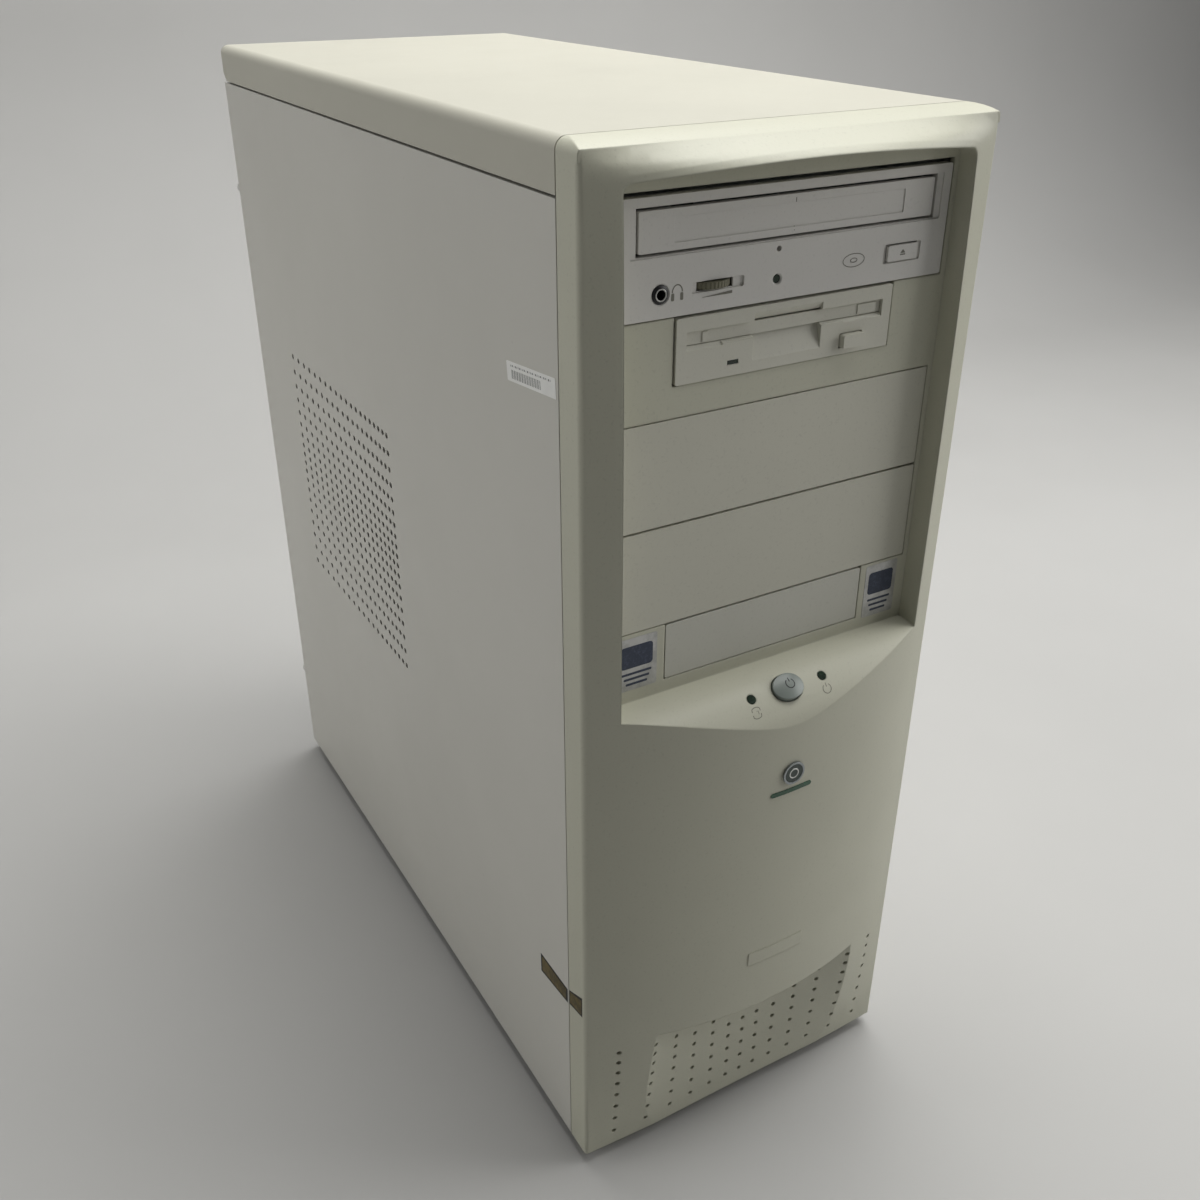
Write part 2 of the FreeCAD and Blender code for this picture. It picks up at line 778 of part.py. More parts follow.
def cd_drive_bezel():
    """The optical drive's moulded front with openings for the tray and the controls."""
    y0, y1 = drive_face, drive_rear
    face = rounded_plate(-cd_half, cd_half, cd_bottom, cd_top, 0.8, y0, y1)
    recesses = [
        rounded_plate(*tray_surround, 0.8, y0 - 1, y0 + 0.6),
        rounded_plate(*cd_eject_recess, 0.8, y0 - 1, y0 + 0.7),
        rounded_plate(*wheel_recess, 0.8, y0 - 1, y0 + 0.7),
        Part.makeCone(3.9, 3.2, 0.7, V(jack_x, y0, jack_z), Y_AXIS),
        Part.makeCone(2.2, 1.75, 0.45, V(cd_light[0], y0, cd_light[1]), Y_AXIS),
    ]
    openings = [
        pocket(tray_mouth, y0 - 1, y1 + 1),
        pocket(grown(cd_eject, button_gap), y0 - 1, y1 + 1),
        pocket(wheel_slot, y0 - 1, y1 + 1),
        rod(wheel_radius + 0.5, (wheel_x, wheel_y, wheel_slot[2]), Z_AXIS, wheel_slot[3] - wheel_slot[2]),
        rod(3.2, (jack_x, y0 - 1, jack_z), Y_AXIS, 8),
        rod(1.05, (cd_pin_hole[0], y0 - 1, cd_pin_hole[1]), Y_AXIS, 8),
        rod(cd_light_radius + 0.15, (cd_light[0], y0 - 1, cd_light[1]), Y_AXIS, 8),
    ]
    return cut(face, recesses + openings)


def cd_tray():
    """The sliding tray with its disc wells, its spindle opening and its front door."""
    door_face = drive_face + tray_door_inset
    door_rear = door_face + 3.0
    door = rounded_plate(*tray_door, 0.8, door_face, door_rear)
    panel = rounded_plate(*tray_panel, 0.6, door_face - 1, door_face + 0.3)
    bed = box(-64.5, 64.5, door_rear, tray_end, tray_floor, tray_bed)
    runners = box(-65.6, 65.6, door_rear + 17, tray_end, tray_floor, tray_floor + 1.8)
    wells = [rod(60.5, (0, disc_centre, tray_bed - 2.3), Z_AXIS, 5),
             rod(40.5, (0, disc_centre, tray_bed - 3.3), Z_AXIS, 5)]
    opening = box(-16, 16, disc_centre - 20, 150, tray_floor - 1, tray_bed + 1)
    return cut(union([door.cut(panel), bed, runners]), wells + [opening])


def push_button(face, out, stem, stem_end):
    """A drive's push button: a rounded face that stands out of the front, and its stem."""
    cap = rounded_plate(*face, 0.7, drive_face - out, drive_face + 3.4)
    return union([cap, pocket(stem, drive_face + 3.4, drive_face + stem_end)])


def cd_eject_button():
    """The optical drive's eject button with its short stem."""
    return push_button(cd_eject, 0.5, (51, 55, 426, 429.5), 9)


def volume_wheel():
    """The ribbed thumb wheel for the headphone volume, with its shaft."""
    disc = rod(wheel_radius, (wheel_x, wheel_y, wheel_low), Z_AXIS, wheel_high - wheel_low)
    notches = []
    for step in range(40):
        turn = math.radians(9 * step)
        reach = wheel_radius + 0.1
        start = (wheel_x + reach * math.cos(turn), wheel_y + reach * math.sin(turn), wheel_low - 1)
        notches.append(rod(0.42, start, Z_AXIS, 5))
    shaft = rod(1.5, (wheel_x, wheel_y, wheel_low - 3.3), Z_AXIS, 3.5)
    return cut(disc, notches).fuse(shaft).removeSplitter()


def headphone_board():
    """The small board behind the drive's front: headphone socket and volume control."""
    front = drive_rear + 0.3
    top = 420.2
    board = box(jack_x - 8, wheel_x + 10, front, front + 18, top - 1.2, top)
    jack = box(jack_x - 4.5, jack_x + 4.5, front, front + 13, top, jack_z + 4.5)
    collar = rod(2.9, (jack_x, drive_face + 0.6, jack_z), Y_AXIS, 4.0)
    bore = rod(jack_bore, (jack_x, drive_face - 1, jack_z), Y_AXIS, 16.0)
    control = box(wheel_x - 5.5, wheel_x + 5.5, front + 0.2, front + 9, top, wheel_low - 1)
    shaft_hole = rod(1.56, (wheel_x, wheel_y, top + 0.3), Z_AXIS, 6)
    return cut(union([board, jack, collar, control]), [bore, shaft_hole])


def cd_spindle():
    """The disc motor's turntable, lowered below the tray."""
    table = rod(14.5, (0, spindle_y, turntable_z), Z_AXIS, 2.4)
    boss = Part.makeCone(7.4, 6.6, 1.4, V(0, spindle_y, turntable_z + 2.4))
    rotor = rod(12.5, (0, spindle_y, turntable_z - 6.5), Z_AXIS, 6.5)
    return table.fuse([boss, rotor]).removeSplitter()


# ---------------------------------------------------------------- floppy drive

def floppy_drive_case():
    """The diskette drive's can, open at the front behind the slot."""
    rear = floppy_case_rear
    inner = floppy_case_half - 0.8
    low, high = floppy_bottom + 0.5, floppy_top - 0.5
    can = box(-floppy_case_half, floppy_case_half, drive_rear, rear, low, high)
    space = box(-inner, inner, drive_rear - 1, rear - sheet, low + 0.8, high - 0.8)
    deck = box(-inner, inner, 40, rear - sheet, floppy_deck_z, floppy_deck_z + sheet)
    guides = [box(x, x + 3, 24, rear - sheet, floppy_guide_z, floppy_guide_z + sheet)
              for x in (-inner, inner - 3)]
    return union([can.cut(space), deck] + guides)


def floppy_drive_bezel():
    """The diskette drive's front with its slot, thumb notches and button opening."""
    y0, y1 = drive_face, drive_rear
    left, right, slot_low, slot_high = diskette_slot
    face = rounded_plate(-floppy_half, floppy_half, floppy_bottom, floppy_top, 0.8, y0, y1)
    cuts = [
        pocket(diskette_slot, y0 - 1, y1 + 1),
        ramp(left, right, slot_low - 0.7, slot_low, 1.6),
        ramp(left, left + 16.0, slot_low - 1.5, slot_low, 1.6),
        ramp(right - 19.0, right, slot_low - 1.2, slot_low, 1.6),
        ramp(-thumb_half, thumb_half, thumb_top, slot_high, 2.2),
        ramp(-thumb_half, thumb_half, thumb_bottom, slot_low, 3.2),
        pocket(grown(floppy_eject, button_gap), y0 - 1, y1 + 1),
        pocket(floppy_light, y0 - 1, y1 + 1),
        rod(0.48, (left - 1.2, flap_y, flap_pivot_z), X_AXIS, right - left + 2.4),
    ]
    return cut(face, cuts)


def floppy_flap():
    """The dust flap in the slot, hinged along its top edge on two stub pins."""
    left, right, low, high = grown(diskette_slot, -0.3)
    front = flap_y - flap_thickness / 2
    plate = box(left, right, front, front + flap_thickness, low, flap_pivot_z + 0.4)
    ribs = [box(x0, x1, front - 0.35, front, low + 0.5, flap_pivot_z - 0.2)
            for x0, x1 in ((-38.3, -35.8), (34.4, 43.5))]
    pins = [rod(0.4, (side * (right - 0.1), flap_y, flap_pivot_z), X_AXIS * side, 1.2) for side in (-1, 1)]
    return union([plate] + ribs + pins)


def floppy_eject_button():
    """The diskette drive's eject button with its push rod."""
    return push_button(floppy_eject, 2.6, (29, 33, 395, 398), 20)


# ---------------------------------------------------------------- fans and power supply

def fan_frame(size, depth, bore):
    """A square fan frame facing Y, centred on the origin, with a motor mount on struts."""
    half = size / 2
    frame = rounded_plate(-half, half, -half, half, 3.5, 0, depth)
    frame = frame.cut(rod(bore, (0, -1, 0), Y_AXIS, depth + 2))
    mount = rod(bore * 0.45, (0, depth - 3, 0), Y_AXIS, 3)
    strut = box(bore * 0.4, bore + 1, depth - 3, depth, -1.6, 1.6)
    struts = [turned(strut, (0, 0, 0), Y_AXIS, 45 + 90 * step) for step in range(4)]
    corner = half - 4.25 * size / 80
    holes = [rod(1.7, (x * corner, -1, z * corner), Y_AXIS, depth + 2) for x in (-1, 1) for z in (-1, 1)]
    return cut(union([frame, mount] + struts), holes)


def fan_rotor(depth, bore):
    """A seven-bladed rotor about the Y axis, clear of its frame."""
    hub = rod(bore * 0.46, (0, 0.8, 0), Y_AXIS, depth - 4.6)
    ring = rod(bore - 1.0, (0, 0.8, 0), Y_AXIS, depth - 4.6)
    blade = box(bore * 0.4, bore + 2, -0.6, 0.6, -bore * 0.34, bore * 0.34)
    blade.rotate(V(0, 0, 0), X_AXIS, 38)
    blade.translate(V(0, (depth - 3) / 2, 0))
    blades = [turned(blade, (0, 0, 0), Y_AXIS, 360 * step / 7).common(ring) for step in range(7)]
    return union([hub] + blades)


def fan_frames():
    """The frames of the power supply's fan and of the case fan."""
    frame = fan_frame(fan_size, fan_depth, fan_bore)
    return group([moved(frame, psu_fan_x, rear_plate - sheet - fan_depth - 0.1, psu_fan_z),
                  moved(frame, case_fan_x, rear_plate - fan_depth - 0.1, case_fan_z)])


def psu_fan():
    return moved(fan_rotor(fan_depth, fan_bore), psu_fan_x, rear_plate - sheet - fan_depth - 0.1, psu_fan_z)


def case_fan():
    return moved(fan_rotor(fan_depth, fan_bore), case_fan_x, rear_plate - fan_depth - 0.1, case_fan_z)


def psu_case():
    """The power supply's sheet-metal box with its rear openings and side slots."""
    shell = box(-psu_half, psu_half, psu_front, rear_plate, psu_bottom, psu_top)
    space = box(-psu_half + sheet, psu_half - sheet, psu_front + sheet, rear_plate - sheet,
                psu_bottom + sheet, psu_top - sheet)
    y0, y1 = rear_plate - 3, rear_plate + 1
    cuts = [
        rod(fan_bore - 0.5, (psu_fan_x, y0, psu_fan_z), Y_AXIS, 4),
        box(inlet_x - 13.7, inlet_x + 13.7, y0, y1, inlet_z - 10.2, inlet_z + 10.2),
        rounded_plate(selector_x - 7.5, selector_x + 7.5, selector_z - 5, selector_z + 5, 1, y0, y1),
    ]
    for row in range(9):
        y = psu_front + 22 + 9 * row
        cuts.append(box(-psu_half - 1, -psu_half + 3, y, y + 3, psu_bottom + 25, psu_top - 25))
        cuts.append(box(psu_half - 3, psu_half + 1, y, y + 3, psu_bottom + 25, psu_top - 25))
    cuts.append(rod(6, (48, psu_front - 1, psu_bottom + 20), Y_AXIS, 4))
    return cut(shell.cut(space), cuts)


def psu_fan_guard():
    """The wire guard over the power supply's fan."""
    y = rear_plate + 2.2
    centre = V(psu_fan_x, y, psu_fan_z)
    rings = [Part.makeTorus(radius, 0.8, centre, Y_AXIS) for radius in (10, 18, 26, 34)]
    spokes = []
    for degrees in (45, 135):
        bar = rod(0.8, (psu_fan_x - 50.5, y + 0.9, psu_fan_z), X_AXIS, 101)
        spokes.append(turned(bar, tuple(centre), Y_AXIS, degrees))
    eyes = [rod(3.0, (x, rear_plate + 0.05, z), Y_AXIS, 3.9) for x, z in fan_corners(psu_fan_x, psu_fan_z)]
    return rings[0].multiFuse(rings[1:] + spokes + eyes)


def power_inlet():
    """The mains inlet with its three flat pins and mounting flange."""
    flange = rounded_plate(inlet_x - 15.5, inlet_x + 15.5, inlet_z - 12, inlet_z + 12, 2.5,
                           rear_plate + 0.05, rear_plate + 2.2)
    body = box(inlet_x - 13.5, inlet_x + 13.5, rear_plate - 19, rear_plate + 0.1, inlet_z - 10, inlet_z + 10)
    mouth = rounded_plate(inlet_x - 12.2, inlet_x + 12.2, inlet_z - 8.2, inlet_z + 8.2, 2.5,
                          rear_plate - 14, rear_plate + 3)
    pins = [box(inlet_x + x - 1, inlet_x + x + 1, rear_plate - 14.5, rear_plate - 0.5,
                inlet_z + z - 2, inlet_z + z + 2) for x, z in ((-7, -2), (7, -2), (0, 2))]
    return union([flange.fuse(body).cut(mouth)] + pins)


def voltage_selector():
    """The red slide that selects the mains voltage."""
    knob = box(selector_x - 6.0, selector_x - 0.5, rear_plate - 2.0, rear_plate - 0.2,
               selector_z - 4.2, selector_z + 4.2)
    slot = box(selector_x - 3.8, selector_x - 2.7, rear_plate - 0.9, rear_plate + 1,
               selector_z - 2.6, selector_z + 2.6)
    return knob.cut(slot)


def psu_board():
    """The power supply's circuit board with its transformer, coolers, capacitors and switch."""
    floor = psu_bottom + 6
    pieces = [box(-68, 68, psu_front + 6, 372, floor, floor + 1.6)]
    top = floor + 1.6
    pieces.append(box(-18, 16, psu_front + 36, psu_front + 70, top, top + 38))
    pieces.append(box(-48, -44, psu_front + 20, psu_front + 88, top, top + 46))
    pieces.append(box(36, 40, psu_front + 20, psu_front + 88, top, top + 46))
    for x, y in ((-30, 24), (-30, 50), (26, 26), (26, 50)):
        pieces.append(rod(7.5, (x, psu_front + y, top), Z_AXIS, 30))
    housing = box(selector_x - 9, selector_x + 9, rear_plate - 12, rear_plate - 1.05,
                  selector_z - 7, selector_z + 7)
    well = box(selector_x - 6.3, selector_x + 6.3, rear_plate - 2.3, rear_plate,
               selector_z - 4.5, selector_z + 4.5)
    pieces.append(housing.cut(well))
    return group(pieces)


# ---------------------------------------------------------------- motherboard and cards

def slot_z(index):
    return first_slot_z + slot_pitch * index


def motherboard():
    """The main circuit board, standing on its edge along the right wall."""
    return box(board_x, board_x + board_thickness, board_front, board_rear, board_bottom, board_top)


def board_standoffs():
    """Short hexagon posts between the board and its tray."""
    posts = []
    for y in (board_front + 8, board_rear - 30):
        for z in (board_bottom + 8, 165, board_top - 8):
            start = (board_x + board_thickness + 0.05, y, z)
            posts.append(rod(2.8, start, X_AXIS, tray_x - board_x - board_thickness - 0.1))
    return group(posts)


def board_sockets():
    """The connectors on the motherboard: expansion slots, memory and processor sockets."""
    blocks = []
    for slot in range(slot_count):
        z = slot_z(slot)
        length = 84 if slot > 2 else 138
        blocks.append(box(board_x - 11, board_x, 390 - length, 390, z - 4.2, z + 4.2))
    for step in range(3):
        z = 262 + 10 * step
        blocks.append(box(board_x - 8, board_x, 222, 362, z - 3.2, z + 3.2))
    blocks.append(box(board_x - 10, board_x, 226, 366, 209, 216))
    blocks.append(box(board_x - 9, board_x, 214, 219, 40, 96))
    blocks.append(box(board_x - 9, board_x, 214, 219, 104, 142))
    blocks.append(box(board_x - 12, board_x, 300, 352, 308, 318))
    return group(blocks)


def board_chips():
    """Chips, capacitors and the clock battery on the motherboard."""
    pieces = [
        box(board_x - 3, board_x, 250, 277, 226, 253),
        box(board_x - 3, board_x, 226, 252, 168, 196),
        box(board_x - 2.4, board_x, 224, 244, 20, 36),
        box(board_x - 3.5, board_x, 226, 240, 128, 160),
        rod(10, (board_x - 3.4, 268, 182), X_AXIS, 3.4),
    ]
    for step in range(7):
        pieces.append(rod(4, (board_x - 11, 240 + 12 * step, 300), X_AXIS, 11))
    return group(pieces)


def processor_cartridge():
    """The processor in its upright cartridge."""
    return rounded_plate(board_x - 68, board_x - 6.2, 216.1, 232.1, 2.0, 228, 364)


def processor_heatsink():
    """The processor's finned cooler."""
    base = box(board_x - 66, board_x - 12, 236, 356, 203.0, 208.4)
    fins = [box(board_x - 66, board_x - 12, 236 + 9.8 * step, 238 + 9.8 * step, 189, 203.0)
            for step in range(13)]
    bridge = box(board_x - 66, board_x - 12, 290, 302, 208.4, 216.05)
    return union([base, bridge] + fins)


def cpu_fan_frame():
    """The small frame of the processor's fan."""
    frame = fan_frame(50.0, 12.0, 23.5)
    frame.rotate(V(0, 0, 0), X_AXIS, -90)
    return moved(frame, cooler_x, cooler_y, cooler_z)


def cpu_fan():
    rotor = fan_rotor(12.0, 23.5)
    rotor.rotate(V(0, 0, 0), X_AXIS, -90)
    return moved(rotor, cooler_x, cooler_y, cooler_z)


def memory_modules():
    """Two memory modules in their sockets."""
    modules = []
    for step in range(2):
        z = 262 + 10 * step
        board = box(board_x - 40, board_x - 8, 225, 358, z - 0.65, z + 0.65)
        chips = [box(board_x - 34, board_x - 18, 230 + 15.5 * chip, 241 + 15.5 * chip, z + 0.65, z + 1.9)
                 for chip in range(8)]
        modules.append(union([board] + chips))
    return group(modules)


def port_block(z, length, depth, rise):
    """One connector housing behind the port shield, reaching through it."""
    return box(board_x - rise, board_x, board_rear - depth, rear_plate + 3.4, z - length / 2, z + length / 2)


def d_plug(z, length, x):
    """A D-shaped metal connector shell standing out of the rear, with its two jack posts."""
    y0, y1 = rear_plate + 0.4, rear_plate + 6.0
    half = length / 2
    shell = prism([(x - 4.6, y0, z - half), (x + 4.6, y0, z - half + 1.6),
                   (x + 4.6, y0, z + half - 1.6), (x - 4.6, y0, z + half)], Y_AXIS * (y1 - y0))
    inner = prism([(x - 3.8, y1 - 3.2, z - half + 1.2), (x + 3.8, y1 - 3.2, z - half + 2.6),
                   (x + 3.8, y1 - 3.2, z + half - 2.6), (x - 3.8, y1 - 3.2, z + half - 1.2)], Y_AXIS * 4)
    posts = [Part.makeCylinder(2.4, y1 - y0, V(x, y0, z + side * (half + 4.6)), Y_AXIS) for side in (-1, 1)]
    return [shell.cut(inner)] + posts


def board_ports():
    """The motherboard's rear connectors: keyboard, mouse, universal serial, serial and parallel."""
    pieces = []
    for z, rise in ((311, 13), (295, 13)):
        socket = port_block(z, 14, 12, rise)
        mouth = rod(5.0, (board_x - 6.5, rear_plate + 1.2, z), Y_AXIS, 4)
        pieces.append(socket.cut(mouth))
    for x in (board_x - 4.5, board_x - 12.5):
        shell = box(x - 3.6, x + 3.6, board_rear - 12, rear_plate + 3.4, 268, 282)
        mouth = box(x - 2.4, x + 2.4, rear_plate + 0.4, rear_plate + 4, 269.2, 280.8)
        tongue = box(x - 0.6, x + 1.4, rear_plate + 0.3, rear_plate + 3.0, 270, 280)
        pieces.append(union([shell.cut(mouth), tongue]))
    pieces.append(box(board_x - 14, board_x, board_rear - 10, rear_plate + 0.3, 168, 258))
    pieces += d_plug(238.0, 17.0, board_x - 8.0)
    pieces += d_plug(192.0, 38.0, board_x - 8.0)
    return group(pieces)


def io_shield():
    """The pressed plate around the rear connectors."""
    x0, x1, z0, z1 = 32.9, board_x - 0.3, ports_z - ports_half, ports_z + ports_half
    plate = rounded_plate(x0, x1, z0, z1, 1.0, rear_plate + 0.4, rear_plate + 1.0)
    y0, y1 = rear_plate, rear_plate + 2
    openings = [
        box(board_x - 13.3, x1 + 1, y0, y1, 303.6, 318.4),
        box(board_x - 13.3, x1 + 1, y0, y1, 287.6, 302.4),
        box(board_x - 16.5, x1 + 1, y0, y1, 267.6, 282.4),
        box(board_x - 13.2, board_x - 2.8, y0, y1, 222.0, 254.0),
        box(board_x - 13.2, board_x - 2.8, y0, y1, 165.0, 219.0),
    ]
    return cut(plate, openings)


def card_bracket(z):
    """The folded metal bracket at the rear of an expansion card."""
    return box(bracket_low_x, bracket_high_x, rear_plate - 1.0, rear_plate - 0.1, z - 9.2, z + 9.2)


def slot_covers():
    """Blank brackets over the empty expansion slots."""
    return group(card_bracket(slot_z(slot)) for slot in range(slot_count)
                 if slot not in (sound_slot, video_slot))


def expansion_card(slot, length, chips):
    """A circuit board in an expansion slot with its bracket."""
    z = slot_z(slot)
    board = box(-34, board_x - 11.1, rear_plate - 4 - length, rear_plate - 1.0, z - 0.8, z + 0.8)
    lumps = [box(x, x + size, y, y + size, z - 0.8 - rise, z - 0.8) for x, y, size, rise in chips]
    return union([board, card_bracket(z)] + lumps)


def video_card():
    """The display card with its fifteen-way socket."""
    z = slot_z(video_slot)
    chips = ((0, 330, 30, 6.0), (-26, 360, 14, 1.2), (-26, 300, 14, 1.2), (38, 300, 14, 1.2))
    card = expansion_card(video_slot, 150, chips)
    y0, y1 = rear_plate - 0.15, rear_plate + 5.4
    half = 8.4
    x = 12.0
    shell = prism([(x - half, y0, z - 4.4), (x + half, y0, z - 4.4), (x + half - 1.5, y0, z + 4.4),
                   (x - half + 1.5, y0, z + 4.4)], Y_AXIS * (y1 - y0))
    holes = [rod(0.55, (x - 4.6 + 2.3 * column + 0.6 * (row - 1), y1 - 4, z - 2.1 + 2.1 * row), Y_AXIS, 5)
             for row in range(3) for column in range(5)]
    posts = [rod(2.3, (x + side * 12.5, y0, z), Y_AXIS, y1 - y0) for side in (-1, 1)]
    return union([card, cut(shell, holes)] + posts)


def sound_card():
    """The sound card with its row of round sockets and its joystick socket."""
    z = slot_z(sound_slot)
    chips = ((10, 320, 22, 2.2), (-22, 350, 12, 1.6), (40, 330, 10, 1.6))
    card = expansion_card(sound_slot, 130, chips)
    y0, y1 = rear_plate - 0.15, rear_plate + 2.6
    jacks = [first_jack_x - jack_pitch * step for step in range(jack_count)]
    collars = []
    for x in jacks:
        collar = rod(4.2, (x, y0, z), Y_AXIS, y1 - y0)
        body = box(x - 5, x + 5, rear_plate - 15, rear_plate - 1.0, z - 5.2, z + 5.2)
        collars += [collar, body]
    x = -12.0
    shell = prism([(x - 13, y0, z - 4.4), (x + 13, y0, z - 4.4), (x + 11.5, y0, z + 4.4),
                   (x - 11.5, y0, z + 4.4)], Y_AXIS * 5.2)
    posts = [rod(2.3, (x + side * 16.8, y0, z), Y_AXIS, 5.2) for side in (-1, 1)]
    bores = [rod(jack_bore, (x, rear_plate - 0.4, z), Y_AXIS, 4) for x in jacks]
    return cut(union([card, shell] + collars + posts), bores)


def hard_disk():
    """The hard disk in the lower cage."""
    body = rounded_plate(-disk_half, disk_half, disk_bottom, disk_top, 1.5, disk_front, disk_rear)
    lid = box(-44, 44, disk_front + 6, disk_rear - 21, disk_top, disk_top + 1.0)
    board = box(-48, 48, disk_front + 16, disk_rear - 6, disk_bottom - 1.6, disk_bottom)
    return union([body, lid, board])


def speaker():
    """The small round speaker behind the air holes."""
    ring = rod(28, (speaker_x, 18.0, speaker_z), Y_AXIS, 4)
    cone = Part.makeCone(26, 10, 12, V(speaker_x, 22, speaker_z), Y_AXIS)
    magnet = rod(13, (speaker_x, 34, speaker_z), Y_AXIS, 9)
    return union([ring, cone, magnet])


# ---------------------------------------------------------------- internal cables

def ribbon(width_x0, width_x1, points, bend):
    """A flat cable, one millimetre thick, whose route lies in a plane across X."""
    first, second = V(*points[0]), V(*points[1])
    across = (second - first).normalize().cross(X_AXIS) * 0.5
    corners = [first + X_AXIS * width_x0 + across, first + X_AXIS * width_x1 + across,
               first + X_AXIS * width_x1 - across, first + X_AXIS * width_x0 - across]
    profile = Part.makePolygon(corners + corners[:1])
    shifted = [(width_x0, y, z) for _, y, z in points]
    return swept(profile, shifted, bend)


def drive_ribbon():
    """The flat cable from the optical drive down to the hard disk."""
    route = [(0, cd_case_rear + 0.3, 425.5), (0, 226, 425.5), (0, 226, 330), (0, 200, 290),
             (0, 200, 246), (0, disk_rear + 0.3, 246)]
    return ribbon(-49, -3, route, 14)


def floppy_ribbon():
    """The flat cable from the diskette drive to the motherboard's edge."""
    route = [(0, floppy_case_rear + 0.3, 396), (0, 206, 396), (0, 206, 300), (0, 190, 250), (0, 190, 142)]
    return ribbon(12, 46, route, 12)


def wire_run(points, radius, bend):
    """A round bundle of wires with tangent bends."""
    start, following = V(*points[0]), V(*points[1])
    profile = Part.Wire(Part.Circle(start, following - start, radius).toShape())
    return swept(profile, points, bend)


def power_harness():
    """The power supply's leads to the motherboard and the optical drive."""
    outlet = (48, psu_front - 0.3, psu_bottom + 20)
    board_route = [outlet, (48, 246, psu_bottom + 20), (48, 240, 352), (66, 326, 352), (66, 326, 318.3)]
    drive_route = [(41, cd_case_rear + 0.3, 425.5), (41, 222, 425.5), (20, 244, 450),
                   (20, psu_front - 0.3, 450)]
    return group([wire_run(board_route, 4.5, 12), wire_run(drive_route, 3.0, 9)])


# ---------------------------------------------------------------- all sub-parts

def sub_parts():
    return {
        "front_bezel": front_bezel(),
        "front_badge": front_badge(),
        "bay_cover_upper": bay_cover(covers_split, covers_top, large_bay_half),
        "bay_cover_lower": bay_cover(covers_bottom, covers_split, large_bay_half),
        "bay_cover_small": bay_cover(small_cover_bottom, covers_bottom, small_bay_half),
        "indicator_lenses": indicator_lenses(),
        "power_button": power_button(),
        "power_switch": power_switch(),
        "top_cover": top_cover(),
        "left_side_panel": side_panel(-1),
        "right_side_panel": side_panel(1),
        "panel_screws": panel_screws(),
        "feet": feet(),
        "chassis_pan": chassis_pan(),
        "chassis_front": chassis_front(),
        "chassis_rails": chassis_rails(),
        "chassis_rear": chassis_rear(),
        "board_tray": board_tray(),
        "drive_cage_large": drive_cage(large_cage_half, *large_cage, large_cage_rear),
        "drive_cage_small": drive_cage(small_cage_half, *small_cage, small_cage_rear),
        "case_screws": case_screws(),
        "drive_screws": drive_screws(),
        "cd_drive_case": cd_drive_case(),
        "cd_drive_bezel": cd_drive_bezel(),
        "cd_tray": cd_tray(),
        "cd_eject_button": cd_eject_button(),
        "volume_wheel": volume_wheel(),
        "headphone_board": headphone_board(),
        "cd_spindle": cd_spindle(),
        "floppy_drive_case": floppy_drive_case(),
        "floppy_drive_bezel": floppy_drive_bezel(),
        "floppy_flap": floppy_flap(),
        "floppy_eject_button": floppy_eject_button(),
        "fan_frames": fan_frames(),
        "psu_fan": psu_fan(),
        "case_fan": case_fan(),
        "psu_case": psu_case(),
        "psu_fan_guard": psu_fan_guard(),
        "power_inlet": power_inlet(),
        "voltage_selector": voltage_selector(),
        "psu_board": psu_board(),
        "motherboard": motherboard(),
        "board_standoffs": board_standoffs(),
        "board_sockets": board_sockets(),
        "board_chips": board_chips(),
        "processor_cartridge": processor_cartridge(),
        "processor_heatsink": processor_heatsink(),
        "cpu_fan_frame": cpu_fan_frame(),
        "cpu_fan": cpu_fan(),
        "memory_modules": memory_modules(),
        "board_ports": board_ports(),
        "io_shield": io_shield(),
        "slot_covers": slot_covers(),
        "video_card": video_card(),
        "sound_card": sound_card(),
        "hard_disk": hard_disk(),
        "speaker": speaker(),
        "drive_ribbon": drive_ribbon(),
        "floppy_ribbon": floppy_ribbon(),
        "power_harness": power_harness(),
    }


def save(name, shape):
    """Moves a sub-part to the library frame and writes it."""
    placed = shape.copy()
    frontmost = bulge_depth + badge_rise
    rearmost = case_depth + 0.05 + thumb_head
    placed.translate(V(0, (frontmost - rearmost) / 2, foot_height))
    placed.exportStep("parts/" + name + ".step")
    state = "valid" if placed.isValid() else "NOT VALID"
    print(name, len(placed.Solids), round(placed.Volume), state)


os.makedirs("parts", exist_ok=True)
for node, solid in sub_parts().items():
    save(node, solid)
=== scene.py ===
import json
import math

import bmesh
import bpy
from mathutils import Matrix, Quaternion, Vector
from mathutils.bvhtree import BVHTree


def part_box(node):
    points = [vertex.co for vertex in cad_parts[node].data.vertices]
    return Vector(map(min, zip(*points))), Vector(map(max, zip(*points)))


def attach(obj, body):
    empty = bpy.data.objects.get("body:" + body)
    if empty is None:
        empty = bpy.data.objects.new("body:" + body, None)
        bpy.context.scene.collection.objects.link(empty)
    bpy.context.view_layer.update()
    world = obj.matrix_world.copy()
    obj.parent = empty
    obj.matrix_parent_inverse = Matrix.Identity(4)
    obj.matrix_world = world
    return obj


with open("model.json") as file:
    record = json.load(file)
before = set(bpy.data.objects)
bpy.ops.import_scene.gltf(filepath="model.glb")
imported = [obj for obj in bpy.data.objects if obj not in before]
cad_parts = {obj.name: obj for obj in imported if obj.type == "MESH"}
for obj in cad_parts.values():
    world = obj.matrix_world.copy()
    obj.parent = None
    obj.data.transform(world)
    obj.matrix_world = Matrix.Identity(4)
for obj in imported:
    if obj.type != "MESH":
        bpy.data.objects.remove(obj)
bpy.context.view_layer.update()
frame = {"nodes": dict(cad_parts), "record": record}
nodes = frame["nodes"]
MM = 0.001


# ---------------------------------------------------------------- camera, light and stage

CAMERA_PLACE = Vector((-0.2889, -0.5518, 0.5454))
CAMERA_AIM = Vector((0.4407, 0.7581, -0.4807))
CAMERA_LENS = 36.8


